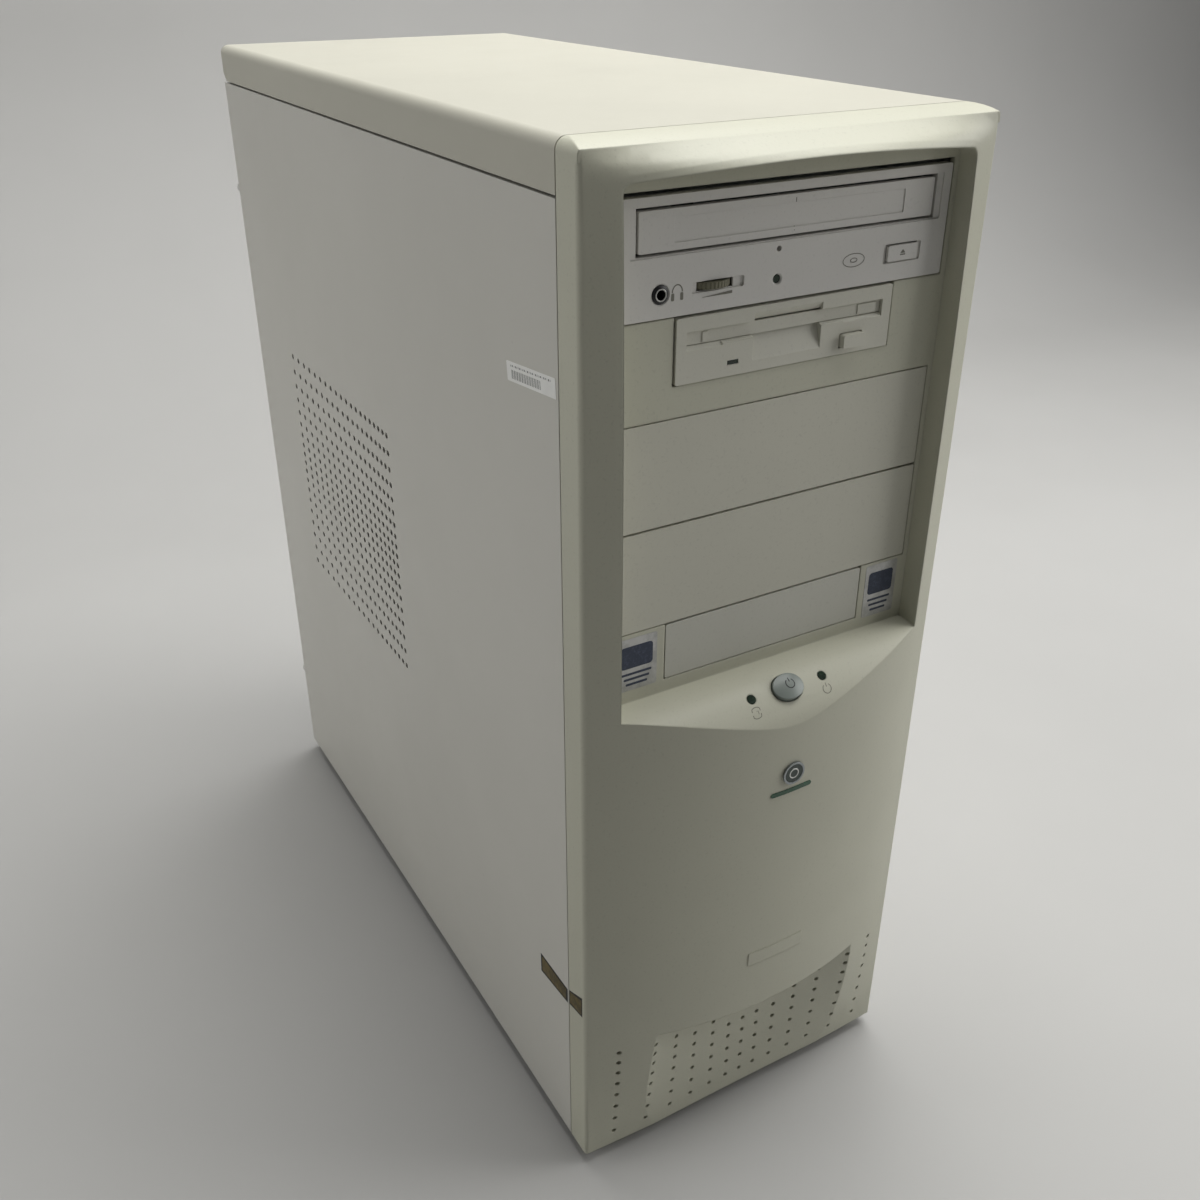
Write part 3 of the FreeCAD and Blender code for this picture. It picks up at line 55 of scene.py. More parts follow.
def make_camera():
    data = bpy.data.cameras.new("camera")
    data.lens = CAMERA_LENS
    data.sensor_width = 36.0
    data.clip_start = 0.01
    camera = bpy.data.objects.new("camera", data)
    camera.location = CAMERA_PLACE
    camera.rotation_mode = "QUATERNION"
    camera.rotation_quaternion = CAMERA_AIM.to_track_quat("-Z", "Y")
    bpy.context.scene.collection.objects.link(camera)
    bpy.context.scene.camera = camera


def area_light(name, place, aim, size, power, colour):
    data = bpy.data.lights.new(name, "AREA")
    data.shape = "RECTANGLE"
    data.size, data.size_y = size
    data.energy = power
    data.color = colour
    lamp = bpy.data.objects.new(name, data)
    lamp.location = place
    lamp.rotation_mode = "QUATERNION"
    lamp.rotation_quaternion = (Vector(aim) - Vector(place)).to_track_quat("-Z", "Y")
    bpy.context.scene.collection.objects.link(lamp)


def make_lights():
    """A wide light overhead, a window at the front right, a fill at the rear left, and a faint room."""
    area_light("ceiling", place=(0.42, 0.1, 1.75), aim=(0.0, 0.0, 0.3), size=(1.5, 1.5), power=37.0,
               colour=(0.995, 0.995, 0.98))
    area_light("right_window", place=(1.55, -0.8, 0.95), aim=(0.0, 0.0, 0.3), size=(1.0, 1.0), power=13.5,
               colour=(1.0, 0.995, 0.985))
    area_light("left_fill", place=(-1.7, 1.0, 0.9), aim=(0.0, 0.0, 0.25), size=(1.4, 1.4), power=16.5,
               colour=(1.0, 1.0, 0.99))
    world = bpy.data.worlds.new("soft_room")
    world.use_nodes = True
    background = world.node_tree.nodes["Background"]
    background.inputs["Color"].default_value = (0.88, 0.90, 0.92, 1.0)
    background.inputs["Strength"].default_value = 0.06
    bpy.context.scene.world = world
    bpy.context.scene.view_settings.view_transform = "Standard"


# ---------------------------------------------------------------- material tools

class Shader:
    """A node material with short names for the nodes that the surfaces here are built from."""

    def __init__(self, name, colour, roughness, metallic=0.0, specular=0.5):
        self.material = bpy.data.materials.new(name)
        self.material.use_nodes = True
        self.tree = self.material.node_tree
        self.surface = self.tree.nodes["Principled BSDF"]
        self.surface.inputs["Base Color"].default_value = (*colour, 1.0)
        self.surface.inputs["Roughness"].default_value = roughness
        self.surface.inputs["Metallic"].default_value = metallic
        self.surface.inputs["Specular IOR Level"].default_value = specular
        self.colour = None
        self.normal = None
        self.place = self.node("ShaderNodeTexCoord").outputs["Object"]

    def node(self, kind, **values):
        made = self.tree.nodes.new(kind)
        for key, value in values.items():
            setattr(made, key, value)
        return made

    def link(self, source, target):
        self.tree.links.new(source, target)

    def scaled(self, scale):
        mapping = self.node("ShaderNodeMapping")
        self.link(self.place, mapping.inputs["Vector"])
        mapping.inputs["Scale"].default_value = scale
        return mapping.outputs["Vector"]

    def noise(self, scale, detail=2.0, roughness=0.5, place=None):
        noise = self.node("ShaderNodeTexNoise")
        self.link(place or self.place, noise.inputs["Vector"])
        noise.inputs["Scale"].default_value = scale
        noise.inputs["Detail"].default_value = detail
        noise.inputs["Roughness"].default_value = roughness
        return noise.outputs["Fac"]

    def cells(self, scale, place=None):
        voronoi = self.node("ShaderNodeTexVoronoi")
        self.link(place or self.place, voronoi.inputs["Vector"])
        voronoi.inputs["Scale"].default_value = scale
        return voronoi

    def wave(self, axis, scale):
        wave = self.node("ShaderNodeTexWave", wave_type="BANDS", bands_direction=axis)
        self.link(self.place, wave.inputs["Vector"])
        wave.inputs["Scale"].default_value = scale
        return wave.outputs["Fac"]

    def ramp(self, source, low, high, start=0.0, end=1.0):
        """Turns a source into greys from one level to another between two of its values."""
        ramp = self.node("ShaderNodeValToRGB")
        self.link(source, ramp.inputs["Fac"])
        first, last = ramp.color_ramp.elements
        first.position, last.position = low, high
        first.color, last.color = (start, start, start, 1.0), (end, end, end, 1.0)
        return ramp.outputs["Color"]

    def paint(self, colour, amount):
        """Lays a colour over what is painted so far, where amount is bright."""
        mix = self.node("ShaderNodeMix", data_type="RGBA")
        if self.colour is None:
            mix.inputs["A"].default_value = self.surface.inputs["Base Color"].default_value
        else:
            self.link(self.colour, mix.inputs["A"])
        mix.inputs["B"].default_value = (*colour, 1.0)
        self.link(amount, mix.inputs["Factor"])
        self.colour = mix.outputs["Result"]
        self.link(self.colour, self.surface.inputs["Base Color"])

    def polish(self, source, low, high):
        """Varies the roughness between two values."""
        span = self.node("ShaderNodeMapRange")
        self.link(source, span.inputs["Value"])
        span.inputs["To Min"].default_value = low
        span.inputs["To Max"].default_value = high
        self.link(span.outputs["Result"], self.surface.inputs["Roughness"])

    def soften_edges(self, radius):
        """Rounds the look of moulded or folded edges."""
        bevel = self.node("ShaderNodeBevel", samples=4)
        bevel.inputs["Radius"].default_value = radius
        self.normal = bevel.outputs["Normal"]
        self.link(self.normal, self.surface.inputs["Normal"])

    def relief(self, height, depth, strength=1.0):
        """Adds surface relief of a given depth in metres."""
        bump = self.node("ShaderNodeBump")
        bump.inputs["Distance"].default_value = depth
        bump.inputs["Strength"].default_value = strength
        self.link(height, bump.inputs["Height"])
        if self.normal is not None:
            self.link(self.normal, bump.inputs["Normal"])
        self.normal = bump.outputs["Normal"]
        self.link(self.normal, self.surface.inputs["Normal"])


def faded(colour, share):
    """A colour darkened or lightened by one share."""
    return tuple(channel * share for channel in colour)


def moulded_plastic(name, colour, roughness=0.5, edge=0.5 * MM, stain=(0.52, 0.47, 0.33), texture=1.0):
    """Spark-eroded moulded plastic with slight yellowing and handling marks."""
    look = Shader(name, colour, roughness, specular=0.4)
    look.paint(faded(colour, 0.90), look.ramp(look.noise(7.0, 3.0), 0.35, 0.75))
    look.paint(stain, look.ramp(look.noise(16.0, 6.0, 0.65), 0.62, 0.95, end=0.16))
    look.paint(faded(colour, 0.72), look.ramp(look.noise(900.0, 1.0), 0.60, 0.80, end=0.35))
    look.polish(look.noise(22.0, 5.0, 0.6), roughness - 0.08, roughness + 0.10)
    look.soften_edges(edge)
    look.relief(look.noise(1300.0, 2.0, 0.6), 0.05 * MM, 0.55 * texture)
    return look.material


def powder_paint(name, colour, roughness=0.42, stain=(0.50, 0.45, 0.33)):
    """Textured paint on sheet steel with faint rubbed and dusty patches."""
    look = Shader(name, colour, roughness, specular=0.5)
    look.paint(faded(colour, 0.93), look.ramp(look.noise(4.5, 4.0, 0.6), 0.35, 0.75))
    long_marks = look.noise(9.0, 5.0, 0.7, look.scaled((1.0, 0.3, 2.2)))
    look.paint(stain, look.ramp(long_marks, 0.63, 0.95, end=0.13))
    specks = look.cells(60.0)
    dots = look.ramp(specks.outputs["Distance"], 0.0, 0.045, start=0.30, end=0.0)
    look.paint(faded(colour, 0.55), dots)
    look.polish(look.noise(14.0, 6.0, 0.65), roughness - 0.08, roughness + 0.14)
    look.soften_edges(0.5 * MM)
    look.relief(look.noise(620.0, 2.0, 0.55), 0.06 * MM, 0.5)
    return look.material


def zinc_sheet(name, colour=(0.50, 0.51, 0.50)):
    """Galvanised sheet with its crystal pattern and fine rolling lines."""
    look = Shader(name, colour, 0.42, metallic=0.9)
    crystals = look.cells(180.0, look.scaled((1.0, 1.0, 0.8)))
    shade = look.node("ShaderNodeSeparateColor")
    look.link(crystals.outputs["Color"], shade.inputs["Color"])
    look.paint(faded(colour, 1.35), look.ramp(shade.outputs["Red"], 0.2, 1.0, end=0.35))
    look.paint(faded(colour, 0.6), look.ramp(look.noise(6.0, 5.0), 0.5, 0.85, end=0.4))
    look.polish(shade.outputs["Green"], 0.30, 0.52)
    look.soften_edges(0.3 * MM)
    look.relief(look.noise(500.0, 3.0, 0.6, look.scaled((1.0, 0.06, 1.0))), 0.02 * MM, 0.4)
    return look.material


def bright_metal(name, colour, roughness=0.28, streak=(1.0, 0.05, 1.0)):
    """Plated or brushed metal with fine streaks and dull patches."""
    look = Shader(name, colour, roughness, metallic=1.0)
    streaks = look.noise(900.0, 3.0, 0.7, look.scaled(streak))
    look.paint(faded(colour, 0.78), look.ramp(streaks, 0.4, 0.8, end=0.7))
    look.paint(faded(colour, 0.5), look.ramp(look.noise(40.0, 4.0), 0.6, 0.9, end=0.4))
    look.polish(streaks, roughness - 0.08, roughness + 0.15)
    look.soften_edges(0.2 * MM)
    look.relief(streaks, 0.01 * MM, 0.4)
    return look.material


def circuit_board(name, colour, trace, metal_from=None):
    """A lacquered circuit board with traces and solder points; plated metal from a place along Y on."""
    look = Shader(name, colour, 0.32, specular=0.6)
    bricks = look.node("ShaderNodeTexBrick", offset=0.35, squash=1.6, squash_frequency=3)
    turned = look.node("ShaderNodeMapping")
    look.link(look.place, turned.inputs["Vector"])
    turned.inputs["Rotation"].default_value = (math.radians(90), 0.0, math.radians(90))
    look.link(turned.outputs["Vector"], bricks.inputs["Vector"])
    bricks.inputs["Scale"].default_value = 110.0
    bricks.inputs["Mortar Size"].default_value = 0.035
    look.paint(trace, look.ramp(bricks.outputs["Fac"], 0.4, 0.6, end=0.8))
    pads = look.cells(190.0)
    solder = look.ramp(pads.outputs["Distance"], 0.14, 0.20, start=1.0, end=0.0)
    look.paint((0.62, 0.60, 0.52), solder)
    look.relief(bricks.outputs["Fac"], 0.05 * MM, 0.6)
    if metal_from is not None:
        place = look.node("ShaderNodeSeparateXYZ")
        look.link(look.place, place.inputs["Vector"])
        bracket = look.node("ShaderNodeMath", operation="GREATER_THAN")
        look.link(place.outputs["Y"], bracket.inputs[0])
        bracket.inputs[1].default_value = metal_from
        look.paint((0.60, 0.60, 0.57), bracket.outputs["Value"])
        look.link(bracket.outputs["Value"], look.surface.inputs["Metallic"])
    return look.material


def soft_rubber(name, colour):
    """Dull rubber, greyed by dust."""
    look = Shader(name, colour, 0.75, specular=0.3)
    look.paint(faded(colour, 1.8), look.ramp(look.noise(120.0, 5.0), 0.5, 0.85, end=0.5))
    look.polish(look.noise(70.0, 3.0), 0.65, 0.9)
    look.relief(look.noise(1500.0, 2.0), 0.08 * MM, 0.7)
    return look.material


def wire_bundle(name):
    """Coloured insulated wires twisted into one bundle."""
    yellow, red, black = (0.62, 0.40, 0.05), (0.50, 0.03, 0.02), (0.03, 0.03, 0.03)
    look = Shader(name, yellow, 0.4)
    twist = look.wave("DIAGONAL", 330.0)
    look.paint(red, look.ramp(twist, 0.25, 0.32))
    look.paint(black, look.ramp(twist, 0.60, 0.66))
    look.paint(yellow, look.ramp(twist, 0.86, 0.92))
    look.relief(twist, 0.6 * MM, 0.8)
    return look.material


def flat_cable(name):
    """Grey ribbon cable with its ridges and one red edge wire."""
    look = Shader(name, (0.42, 0.42, 0.41), 0.45)
    ridges = look.wave("X", 390.0)
    look.paint((0.28, 0.28, 0.28), look.ramp(ridges, 0.1, 0.6, start=1.0, end=0.0))
    look.polish(look.noise(60.0), 0.38, 0.55)
    look.relief(ridges, 0.4 * MM, 0.9)
    return look.material


def lens_plastic(name, colour):
    """Glossy tinted plastic over an unlit lamp."""
    look = Shader(name, colour, 0.16, specular=0.6)
    look.paint(faded(colour, 2.2), look.ramp(look.noise(260.0, 2.0), 0.45, 0.8))
    look.polish(look.noise(300.0, 3.0), 0.10, 0.26)
    look.relief(look.noise(700.0), 0.02 * MM, 0.4)
    return look.material


def finned_metal(name, colour):
    """Dull extruded aluminium."""
    look = Shader(name, colour, 0.45, metallic=0.85)
    look.paint(faded(colour, 0.7), look.ramp(look.noise(50.0, 5.0, 0.7), 0.45, 0.8, end=0.7))
    look.polish(look.noise(90.0, 4.0), 0.35, 0.62)
    look.soften_edges(0.3 * MM)
    look.relief(look.noise(900.0, 3.0), 0.05 * MM, 0.5)
    return look.material


# ---------------------------------------------------------------- looks of the CAD nodes

BEZEL_CREAM = (0.548, 0.543, 0.442)
COVER_CREAM = (0.518, 0.504, 0.426)
PANEL_GREY = (0.610, 0.597, 0.545)
# DRIVE_GREY, BAY_CREAM and SMALL_COVER_GREY are partly the parts' own tones and partly painted light:
# lightened to make up for the shade inside the bay recess
DRIVE_GREY = (0.690, 0.675, 0.640)
BAY_CREAM = (0.590, 0.580, 0.495)
SMALL_COVER_GREY = (0.58, 0.575, 0.51)
DISKETTE_GREY = (0.62, 0.61, 0.53)
WHEEL_OLIVE = (0.23, 0.22, 0.155)
BOARD_GREEN = (0.012, 0.085, 0.035)
TRACE_GREEN = (0.03, 0.16, 0.07)


def slot_materials():
    """One procedural material for each material slot of the record."""
    black = (0.018, 0.018, 0.020)
    return {
        "bezel_plastic": moulded_plastic("bezel_cream", BEZEL_CREAM, 0.46, 1.1 * MM),
        "cover_paint": powder_paint("cover_cream", COVER_CREAM),
        "panel_paint": powder_paint("panel_grey", PANEL_GREY),
        "chassis_steel": zinc_sheet("chassis_zinc"),
        "drive_steel": zinc_sheet("drive_zinc", (0.58, 0.59, 0.58)),
        "drive_plastic": moulded_plastic("drive_grey", DRIVE_GREY, 0.48, 0.2 * MM, texture=0.7),
        "button_plastic": moulded_plastic("button_green_grey", (0.235, 0.265, 0.245), 0.3, 0.6 * MM,
                                          (0.20, 0.21, 0.18), 0.4),
        "dark_plastic": moulded_plastic("dark_plastic", black, 0.45, 0.25 * MM, (0.05, 0.05, 0.05)),
        "lens_plastic": lens_plastic("dark_lens", (0.010, 0.022, 0.012)),
        "badge_metal": bright_metal("badge_metal", (0.30, 0.32, 0.33)),
        "screw_steel": bright_metal("screw_steel", (0.66, 0.66, 0.64)),
        "foot_rubber": soft_rubber("foot_rubber", (0.06, 0.06, 0.058)),
        "red_plastic": moulded_plastic("red_plastic", (0.50, 0.02, 0.015), 0.35, 0.3 * MM, (0.3, 0.02, 0.02)),
        "board_green": circuit_board("board_green", BOARD_GREEN, TRACE_GREEN),
        "board_brown": circuit_board("board_brown", (0.24, 0.14, 0.05), (0.36, 0.25, 0.11)),
        "socket_plastic": moulded_plastic("socket_dark", (0.055, 0.050, 0.045), 0.5, 0.25 * MM,
                                          (0.1, 0.09, 0.08)),
        "heatsink_aluminium": finned_metal("fin_metal", (0.60, 0.61, 0.62)),
        "port_metal": bright_metal("port_metal", (0.60, 0.60, 0.57), 0.32),
        "ribbon_plastic": flat_cable("flat_cable"),
        "wire_plastic": wire_bundle("wire_bundle"),
    }


def dress_cad():
    """Gives every carried-over CAD node its procedural material."""
    looks = slot_materials()
    own = {
        "bay_cover_upper": moulded_plastic("bay_cover_cream", BAY_CREAM, 0.48, 0.3 * MM),
        "bay_cover_small": moulded_plastic("small_cover_grey", SMALL_COVER_GREY, 0.48, 0.3 * MM),
        "floppy_drive_bezel": moulded_plastic("diskette_grey", DISKETTE_GREY, 0.46, 0.2 * MM, texture=0.7),
        "volume_wheel": moulded_plastic("wheel_olive", WHEEL_OLIVE, 0.5, 0.2 * MM),
        "psu_fan_guard": bright_metal("guard_chrome", (0.72, 0.72, 0.71), 0.2),
    }
    bracket_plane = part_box("slot_covers")[0][1] - 0.05 * MM
    own["video_card"] = circuit_board("card_green", BOARD_GREEN, TRACE_GREEN, bracket_plane)
    own["sound_card"] = own["video_card"]
    own["bay_cover_lower"] = own["bay_cover_upper"]
    own["floppy_flap"] = own["floppy_drive_bezel"]
    own["floppy_eject_button"] = own["floppy_drive_bezel"]
    for entry in frame["record"]["subparts"]:
        node = nodes[entry["node"]]
        node.data.materials.clear()
        node.data.materials.append(own.get(entry["node"], looks[entry["material_slot"]]))
    return looks


def make_floor():
    """A pale seamless sweep: floor, curve and back wall."""
    data = bpy.data.meshes.new("floor")
    shape = bmesh.new()
    front, back, top, half_width = -2.6, 1.15, 2.4, 3.2
    radius, steps = 0.45, 15
    line = [(front, 0.0), (back - radius, 0.0)]
    line += [(back - radius + radius * math.sin(turn), radius - radius * math.cos(turn))
             for turn in (math.radians(90 * step / steps) for step in range(1, steps))]
    line += [(back, radius), (back, top)]
    rows = [[shape.verts.new((x, y, z)) for y, z in line] for x in (-half_width, half_width)]
    for left, right in zip(zip(rows[0], rows[0][1:]), zip(rows[1], rows[1][1:])):
        shape.faces.new((left[0], right[0], right[1], left[1]))
    shape.to_mesh(data)
    shape.free()
    floor = bpy.data.objects.new("floor", data)
    data.polygons.foreach_set("use_smooth", [True] * len(data.polygons))
    look = Shader("pale_paper", (0.47, 0.466, 0.455), 0.8, specular=0.2)
    look.paint((0.455, 0.451, 0.440), look.ramp(look.noise(3.0, 3.0, 0.6), 0.4, 0.7))
    look.relief(look.noise(900.0, 3.0), 0.1 * MM, 0.3)
    data.materials.append(look.material)
    bpy.context.scene.collection.objects.link(floor)


def label_paper(name, colour):
    """Slightly yellowed coated paper."""
    look = Shader(name, colour, 0.42, specular=0.4)
    look.paint(faded(colour, 0.86), look.ramp(look.noise(90.0, 4.0, 0.6), 0.4, 0.8, end=0.7))
    age_spots = look.ramp(look.noise(260.0, 4.0, 0.6), 0.62, 0.85, end=0.25)
    look.paint((0.35, 0.31, 0.22), age_spots)
    look.polish(look.noise(150.0, 3.0), 0.36, 0.55)
    look.relief(look.noise(1800.0, 2.0), 0.02 * MM, 0.4)
    return look.material


def glossy_enamel(name, colour, second):
    """Fired enamel with a faint cloudy depth."""
    look = Shader(name, colour, 0.14, specular=0.6)
    look.paint(second, look.ramp(look.noise(320.0, 4.0, 0.6), 0.45, 0.75, end=0.8))
    look.polish(look.noise(600.0, 3.0), 0.10, 0.24)
    look.relief(look.noise(500.0, 2.0), 0.02 * MM, 0.3)
    return look.material


def printed_ink(name, colour):
    """Ink that is rubbed thin in places."""
    look = Shader(name, colour, 0.5, specular=0.3)
    look.paint(faded(colour, 2.4), look.ramp(look.noise(700.0, 4.0, 0.7), 0.5, 0.8, end=0.6))
    look.polish(look.noise(500.0, 2.0), 0.42, 0.62)
    return look.material


def worn_foil(name, colour, worn):
    """Metal foil with creases, rubbed through in patches."""
    look = Shader(name, colour, 0.34, metallic=0.75)
    look.paint(worn, look.ramp(look.noise(130.0, 6.0, 0.75), 0.44, 0.62))
    look.polish(look.noise(220.0, 5.0, 0.7), 0.22, 0.60)
    look.relief(look.noise(240.0, 5.0, 0.6), 0.12 * MM, 0.5)
    return look.material


# ---------------------------------------------------------------- thin pieces laid on the case

class Face:
    """A face of a CAD node. Points on it are given in millimetres right and up from an origin."""

    def __init__(self, node, body, origin, outward=(0, -1, 0), right=(1, 0, 0), turn=0.0):
        self.body = body
        self.origin = Vector(origin)
        self.outward = Vector(outward).normalized()
        self.right = Quaternion(self.outward, math.radians(turn)) @ Vector(right)
        self.up = self.outward.cross(self.right)
        mesh = nodes[node].data
        self.tree = BVHTree.FromPolygons([point.co for point in mesh.vertices],
                                         [face.vertices for face in mesh.polygons])

    def point(self, across, rise, height):
        """The point over one place of the face, at a height above its surface."""
        start = self.origin + (self.right * across + self.up * rise) * MM
        reach = 25.0 * MM
        found = self.tree.ray_cast(start + self.outward * reach, -self.outward, 2.0 * reach)[0]
        return (found or start) + self.outward * height * MM


def lay(name, face, cells, material, height, foot=0.01):
    """Builds a closed sheet from flat cells, between two heights over a face, and rides it on its body."""
    shape = bmesh.new()
    tops, feet = {}, {}

    def corner(place):
        key = (round(place[0], 4), round(place[1], 4))
        if key not in tops:
            tops[key] = shape.verts.new(face.point(*place, height))
            feet[tops[key]] = shape.verts.new(face.point(*place, foot))
        return tops[key]

    sheet = [shape.faces.new([corner(place) for place in cell]) for cell in cells]
    for edge in [edge for edge in shape.edges if edge.is_boundary]:
        loop = edge.link_loops[0]
        start, end = loop.vert, loop.link_loop_next.vert
        shape.faces.new((end, start, feet[start], feet[end]))
    for top in sheet:
        shape.faces.new([feet[point] for point in reversed(top.verts)])
    data = bpy.data.meshes.new(name)
    shape.to_mesh(data)
    shape.free()
    data.materials.append(material)
    piece = bpy.data.objects.new(name, data)
    bpy.context.scene.collection.objects.link(piece)
    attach(piece, face.body)


def shifted(cells, across, rise):
    """The same cells at another place of the face."""
    return [[(place[0] + across, place[1] + rise) for place in cell] for cell in cells]


def plate(width, height, corner=0.5, columns=12, middle=(0.0, 0.0)):
    """Cells of a rectangle with rounded corners."""
    steps = [math.radians(turn) for turn in range(0, 91, 15)]
    rows = [(height / 2 - corner + corner * math.cos(turn), width / 2 - corner + corner * math.sin(turn))
            for turn in steps]
    inner = max(2, round(columns * height / width))
    side = height / 2 - corner
    rows += [(side - 2 * side * step / inner, width / 2) for step in range(1, inner)]
    rows += [(-rise, half) for rise, half in reversed(rows[:len(steps)])]
    cells = []
    for (high, high_half), (low, low_half) in zip(rows, rows[1:]):
        for step in range(columns):
            left, right = 2 * step / columns - 1, 2 * (step + 1) / columns - 1
            cells.append([(left * low_half, low), (right * low_half, low), (right * high_half, high),
                          (left * high_half, high)])
    return shifted(cells, *middle)


def stroke(line, width):
    """Cells of a drawn line of one width."""
    sides = []
    for index, point in enumerate(line):
        before, after = line[max(index - 1, 0)], line[min(index + 1, len(line) - 1)]
        if line[0] == line[-1] and index in (0, len(line) - 1):
            before, after = line[-2], line[1]
        along = Vector((after[0] - before[0], after[1] - before[1])).normalized() * width / 2
        sides.append(((point[0] + along.y, point[1] - along.x), (point[0] - along.y, point[1] + along.x)))
    return [[a[0], b[0], b[1], a[1]] for a, b in zip(sides, sides[1:])]


def arc(radius, start, end, middle=(0.0, 0.0), squash=1.0, steps=24):
    """Points along a part of a circle or ellipse, with its angles in degrees."""
    turns = [math.radians(start + (end - start) * step / steps) for step in range(steps + 1)]
    return [(middle[0] + radius * math.cos(turn), middle[1] + radius * squash * math.sin(turn))
            for turn in turns]


def disc(radius, rings=3, steps=32):
    """Cells of a round disc: rings about a small middle cell."""
    eye = radius / rings / 4
    turns = [math.tau * step / steps for step in range(steps)]
    middle_cell = [(eye * math.cos(turn), eye * math.sin(turn)) for turn in turns]
    return ring(eye, radius, rings, steps) + [middle_cell]


def ring(inner, outer, rings=1, steps=32):
    """Cells of a flat ring."""
    cells = []
    for level in range(rings):
        near, far = (inner + (outer - inner) * (level + side) / rings for side in (0, 1))
        for step in range(steps):
            corners = []
            for radius, index in ((near, step), (far, step), (far, step + 1), (near, step + 1)):
                turn = math.tau * (index % steps) / steps
                corners.append((radius * math.cos(turn), radius * math.sin(turn)))
            cells.append(corners)
    return cells


def power_sign(radius, width):
    """The usual power sign: an open ring with a bar in its gap."""
    return stroke(arc(radius, 125, 415), width) + stroke([(0, radius * 0.35), (0, radius * 1.25)], width)


def drive_sign(width):
    """A plain drive sign: a rounded can with a short mark in it."""
    can = arc(2.0, 0, 180, (0.0, 1.3), 0.5) + arc(2.0, 180, 360, (0.0, -1.5), 0.5)
    return stroke(can + can[:1], width) + stroke([(0.1, 0.6), (0.9, 0.6), (0.9, -0.9)], width * 0.8)


def bars(width, height, count, middle=(0.0, 0.0)):
    """Cells of a row of plain upright bars of uneven width, which spell nothing."""
    cells = []
    for index in range(count):
        across = middle[0] + width * ((index + 0.5) / count - 0.5)
        thick = width / count * (0.30 + 0.22 * math.sin(2.4 * index))
        low, high = middle[1] - height / 2, middle[1] + height / 2
        cells.append([(across - thick / 2, low), (across + thick / 2, low), (across + thick / 2, high),
                      (across - thick / 2, high)])
    return cells


def rules(widths, thick, corner, top, pitch):
    """Cells of plain printed lines under one another."""
    return [cell for step, width in enumerate(widths)
            for cell in plate(width, thick, corner, middle=(0, top - pitch * step))]


def patch(corners, steps=10):
    """Cells of a four-cornered patch. Its corners run anticlockwise, as seen from outside."""
    def at(s, t):
        low = Vector(corners[0]).lerp(Vector(corners[1]), s)
        high = Vector(corners[3]).lerp(Vector(corners[2]), s)
        return tuple(low.lerp(high, t))

    return [[at(i / steps, j / 2), at((i + 1) / steps, j / 2), at((i + 1) / steps, (j + 1) / 2),
             at(i / steps, (j + 1) / 2)] for i in range(steps) for j in (0, 1)]


def middle_of(node):
    low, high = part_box(node)
    return (Vector(low) + Vector(high)) / 2


REAR = {"outward": (0, 1, 0), "right": (-1, 0, 0)}


def make_power_marks(groove_shade, ink):
    """The power signs and the drive sign pressed into the button and the shelf in front of the lights; the
    shelf signs are drawn in painted shade that stands for their grooves.
    """
    sign_radius = 2.1
    button_lean = math.radians(37.0)
    button_outward = (0, -math.sin(button_lean), math.cos(button_lean))
    button = Face("power_button", "power_button", middle_of("power_button"), button_outward)
    button_sign = shifted(power_sign(sign_radius, 0.45), 0.8, 1.2)
    lay("button_power_sign", button, button_sign, ink, height=0.07)
    shelf_lean = math.radians(52.0)
    shelf_outward = (0, -math.sin(shelf_lean), math.cos(shelf_lean))
    lens_low = Vector(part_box("indicator_lenses")[0])
    across, line_width = 18.7, 0.32
    signs = {"drive_sign": (-across, drive_sign(line_width)),
             "power_sign": (across, power_sign(sign_radius, line_width))}
    for name, (place, cells) in signs.items():
        origin = (place * MM, lens_low.y - 2.5 * MM, lens_low.z - 0.6 * MM)
        shelf = Face("front_bezel", "case", origin, shelf_outward)
        lay("shelf_" + name, shelf, cells, groove_shade, height=0.05)


def make_emblem(looks):
    """A plain enamel disc in the badge, a green bar under it and the blank plate low on the front."""
    bar_drop, plate_drop = 9.3, 104.3
    badge = middle_of("front_badge")
    badge_face = Face("front_badge", "case", badge)
    enamel = glossy_enamel("badge_enamel", (0.006, 0.020, 0.014), (0.020, 0.050, 0.036))
    green = glossy_enamel("green_enamel", (0.006, 0.060, 0.024), (0.010, 0.095, 0.040))
    lay("badge_enamel", badge_face, disc(4.6), enamel, height=0.14)
    lay("badge_ring", badge_face, ring(2.0, 2.5), looks["screw_steel"], height=0.22)
    below = Face("front_bezel", "case", badge - Vector((0, 0, bar_drop * MM)))
    lay("badge_bar", below, plate(22.0, 2.2, 1.05, 24), green, height=0.30)
    low = Face("front_bezel", "case", badge - Vector((0, 0, plate_drop * MM)))
    blank = plate(31.5, 8.3, 0.9, 32)
    lay("blank_plate", low, blank, looks["bezel_plastic"], height=0.30)


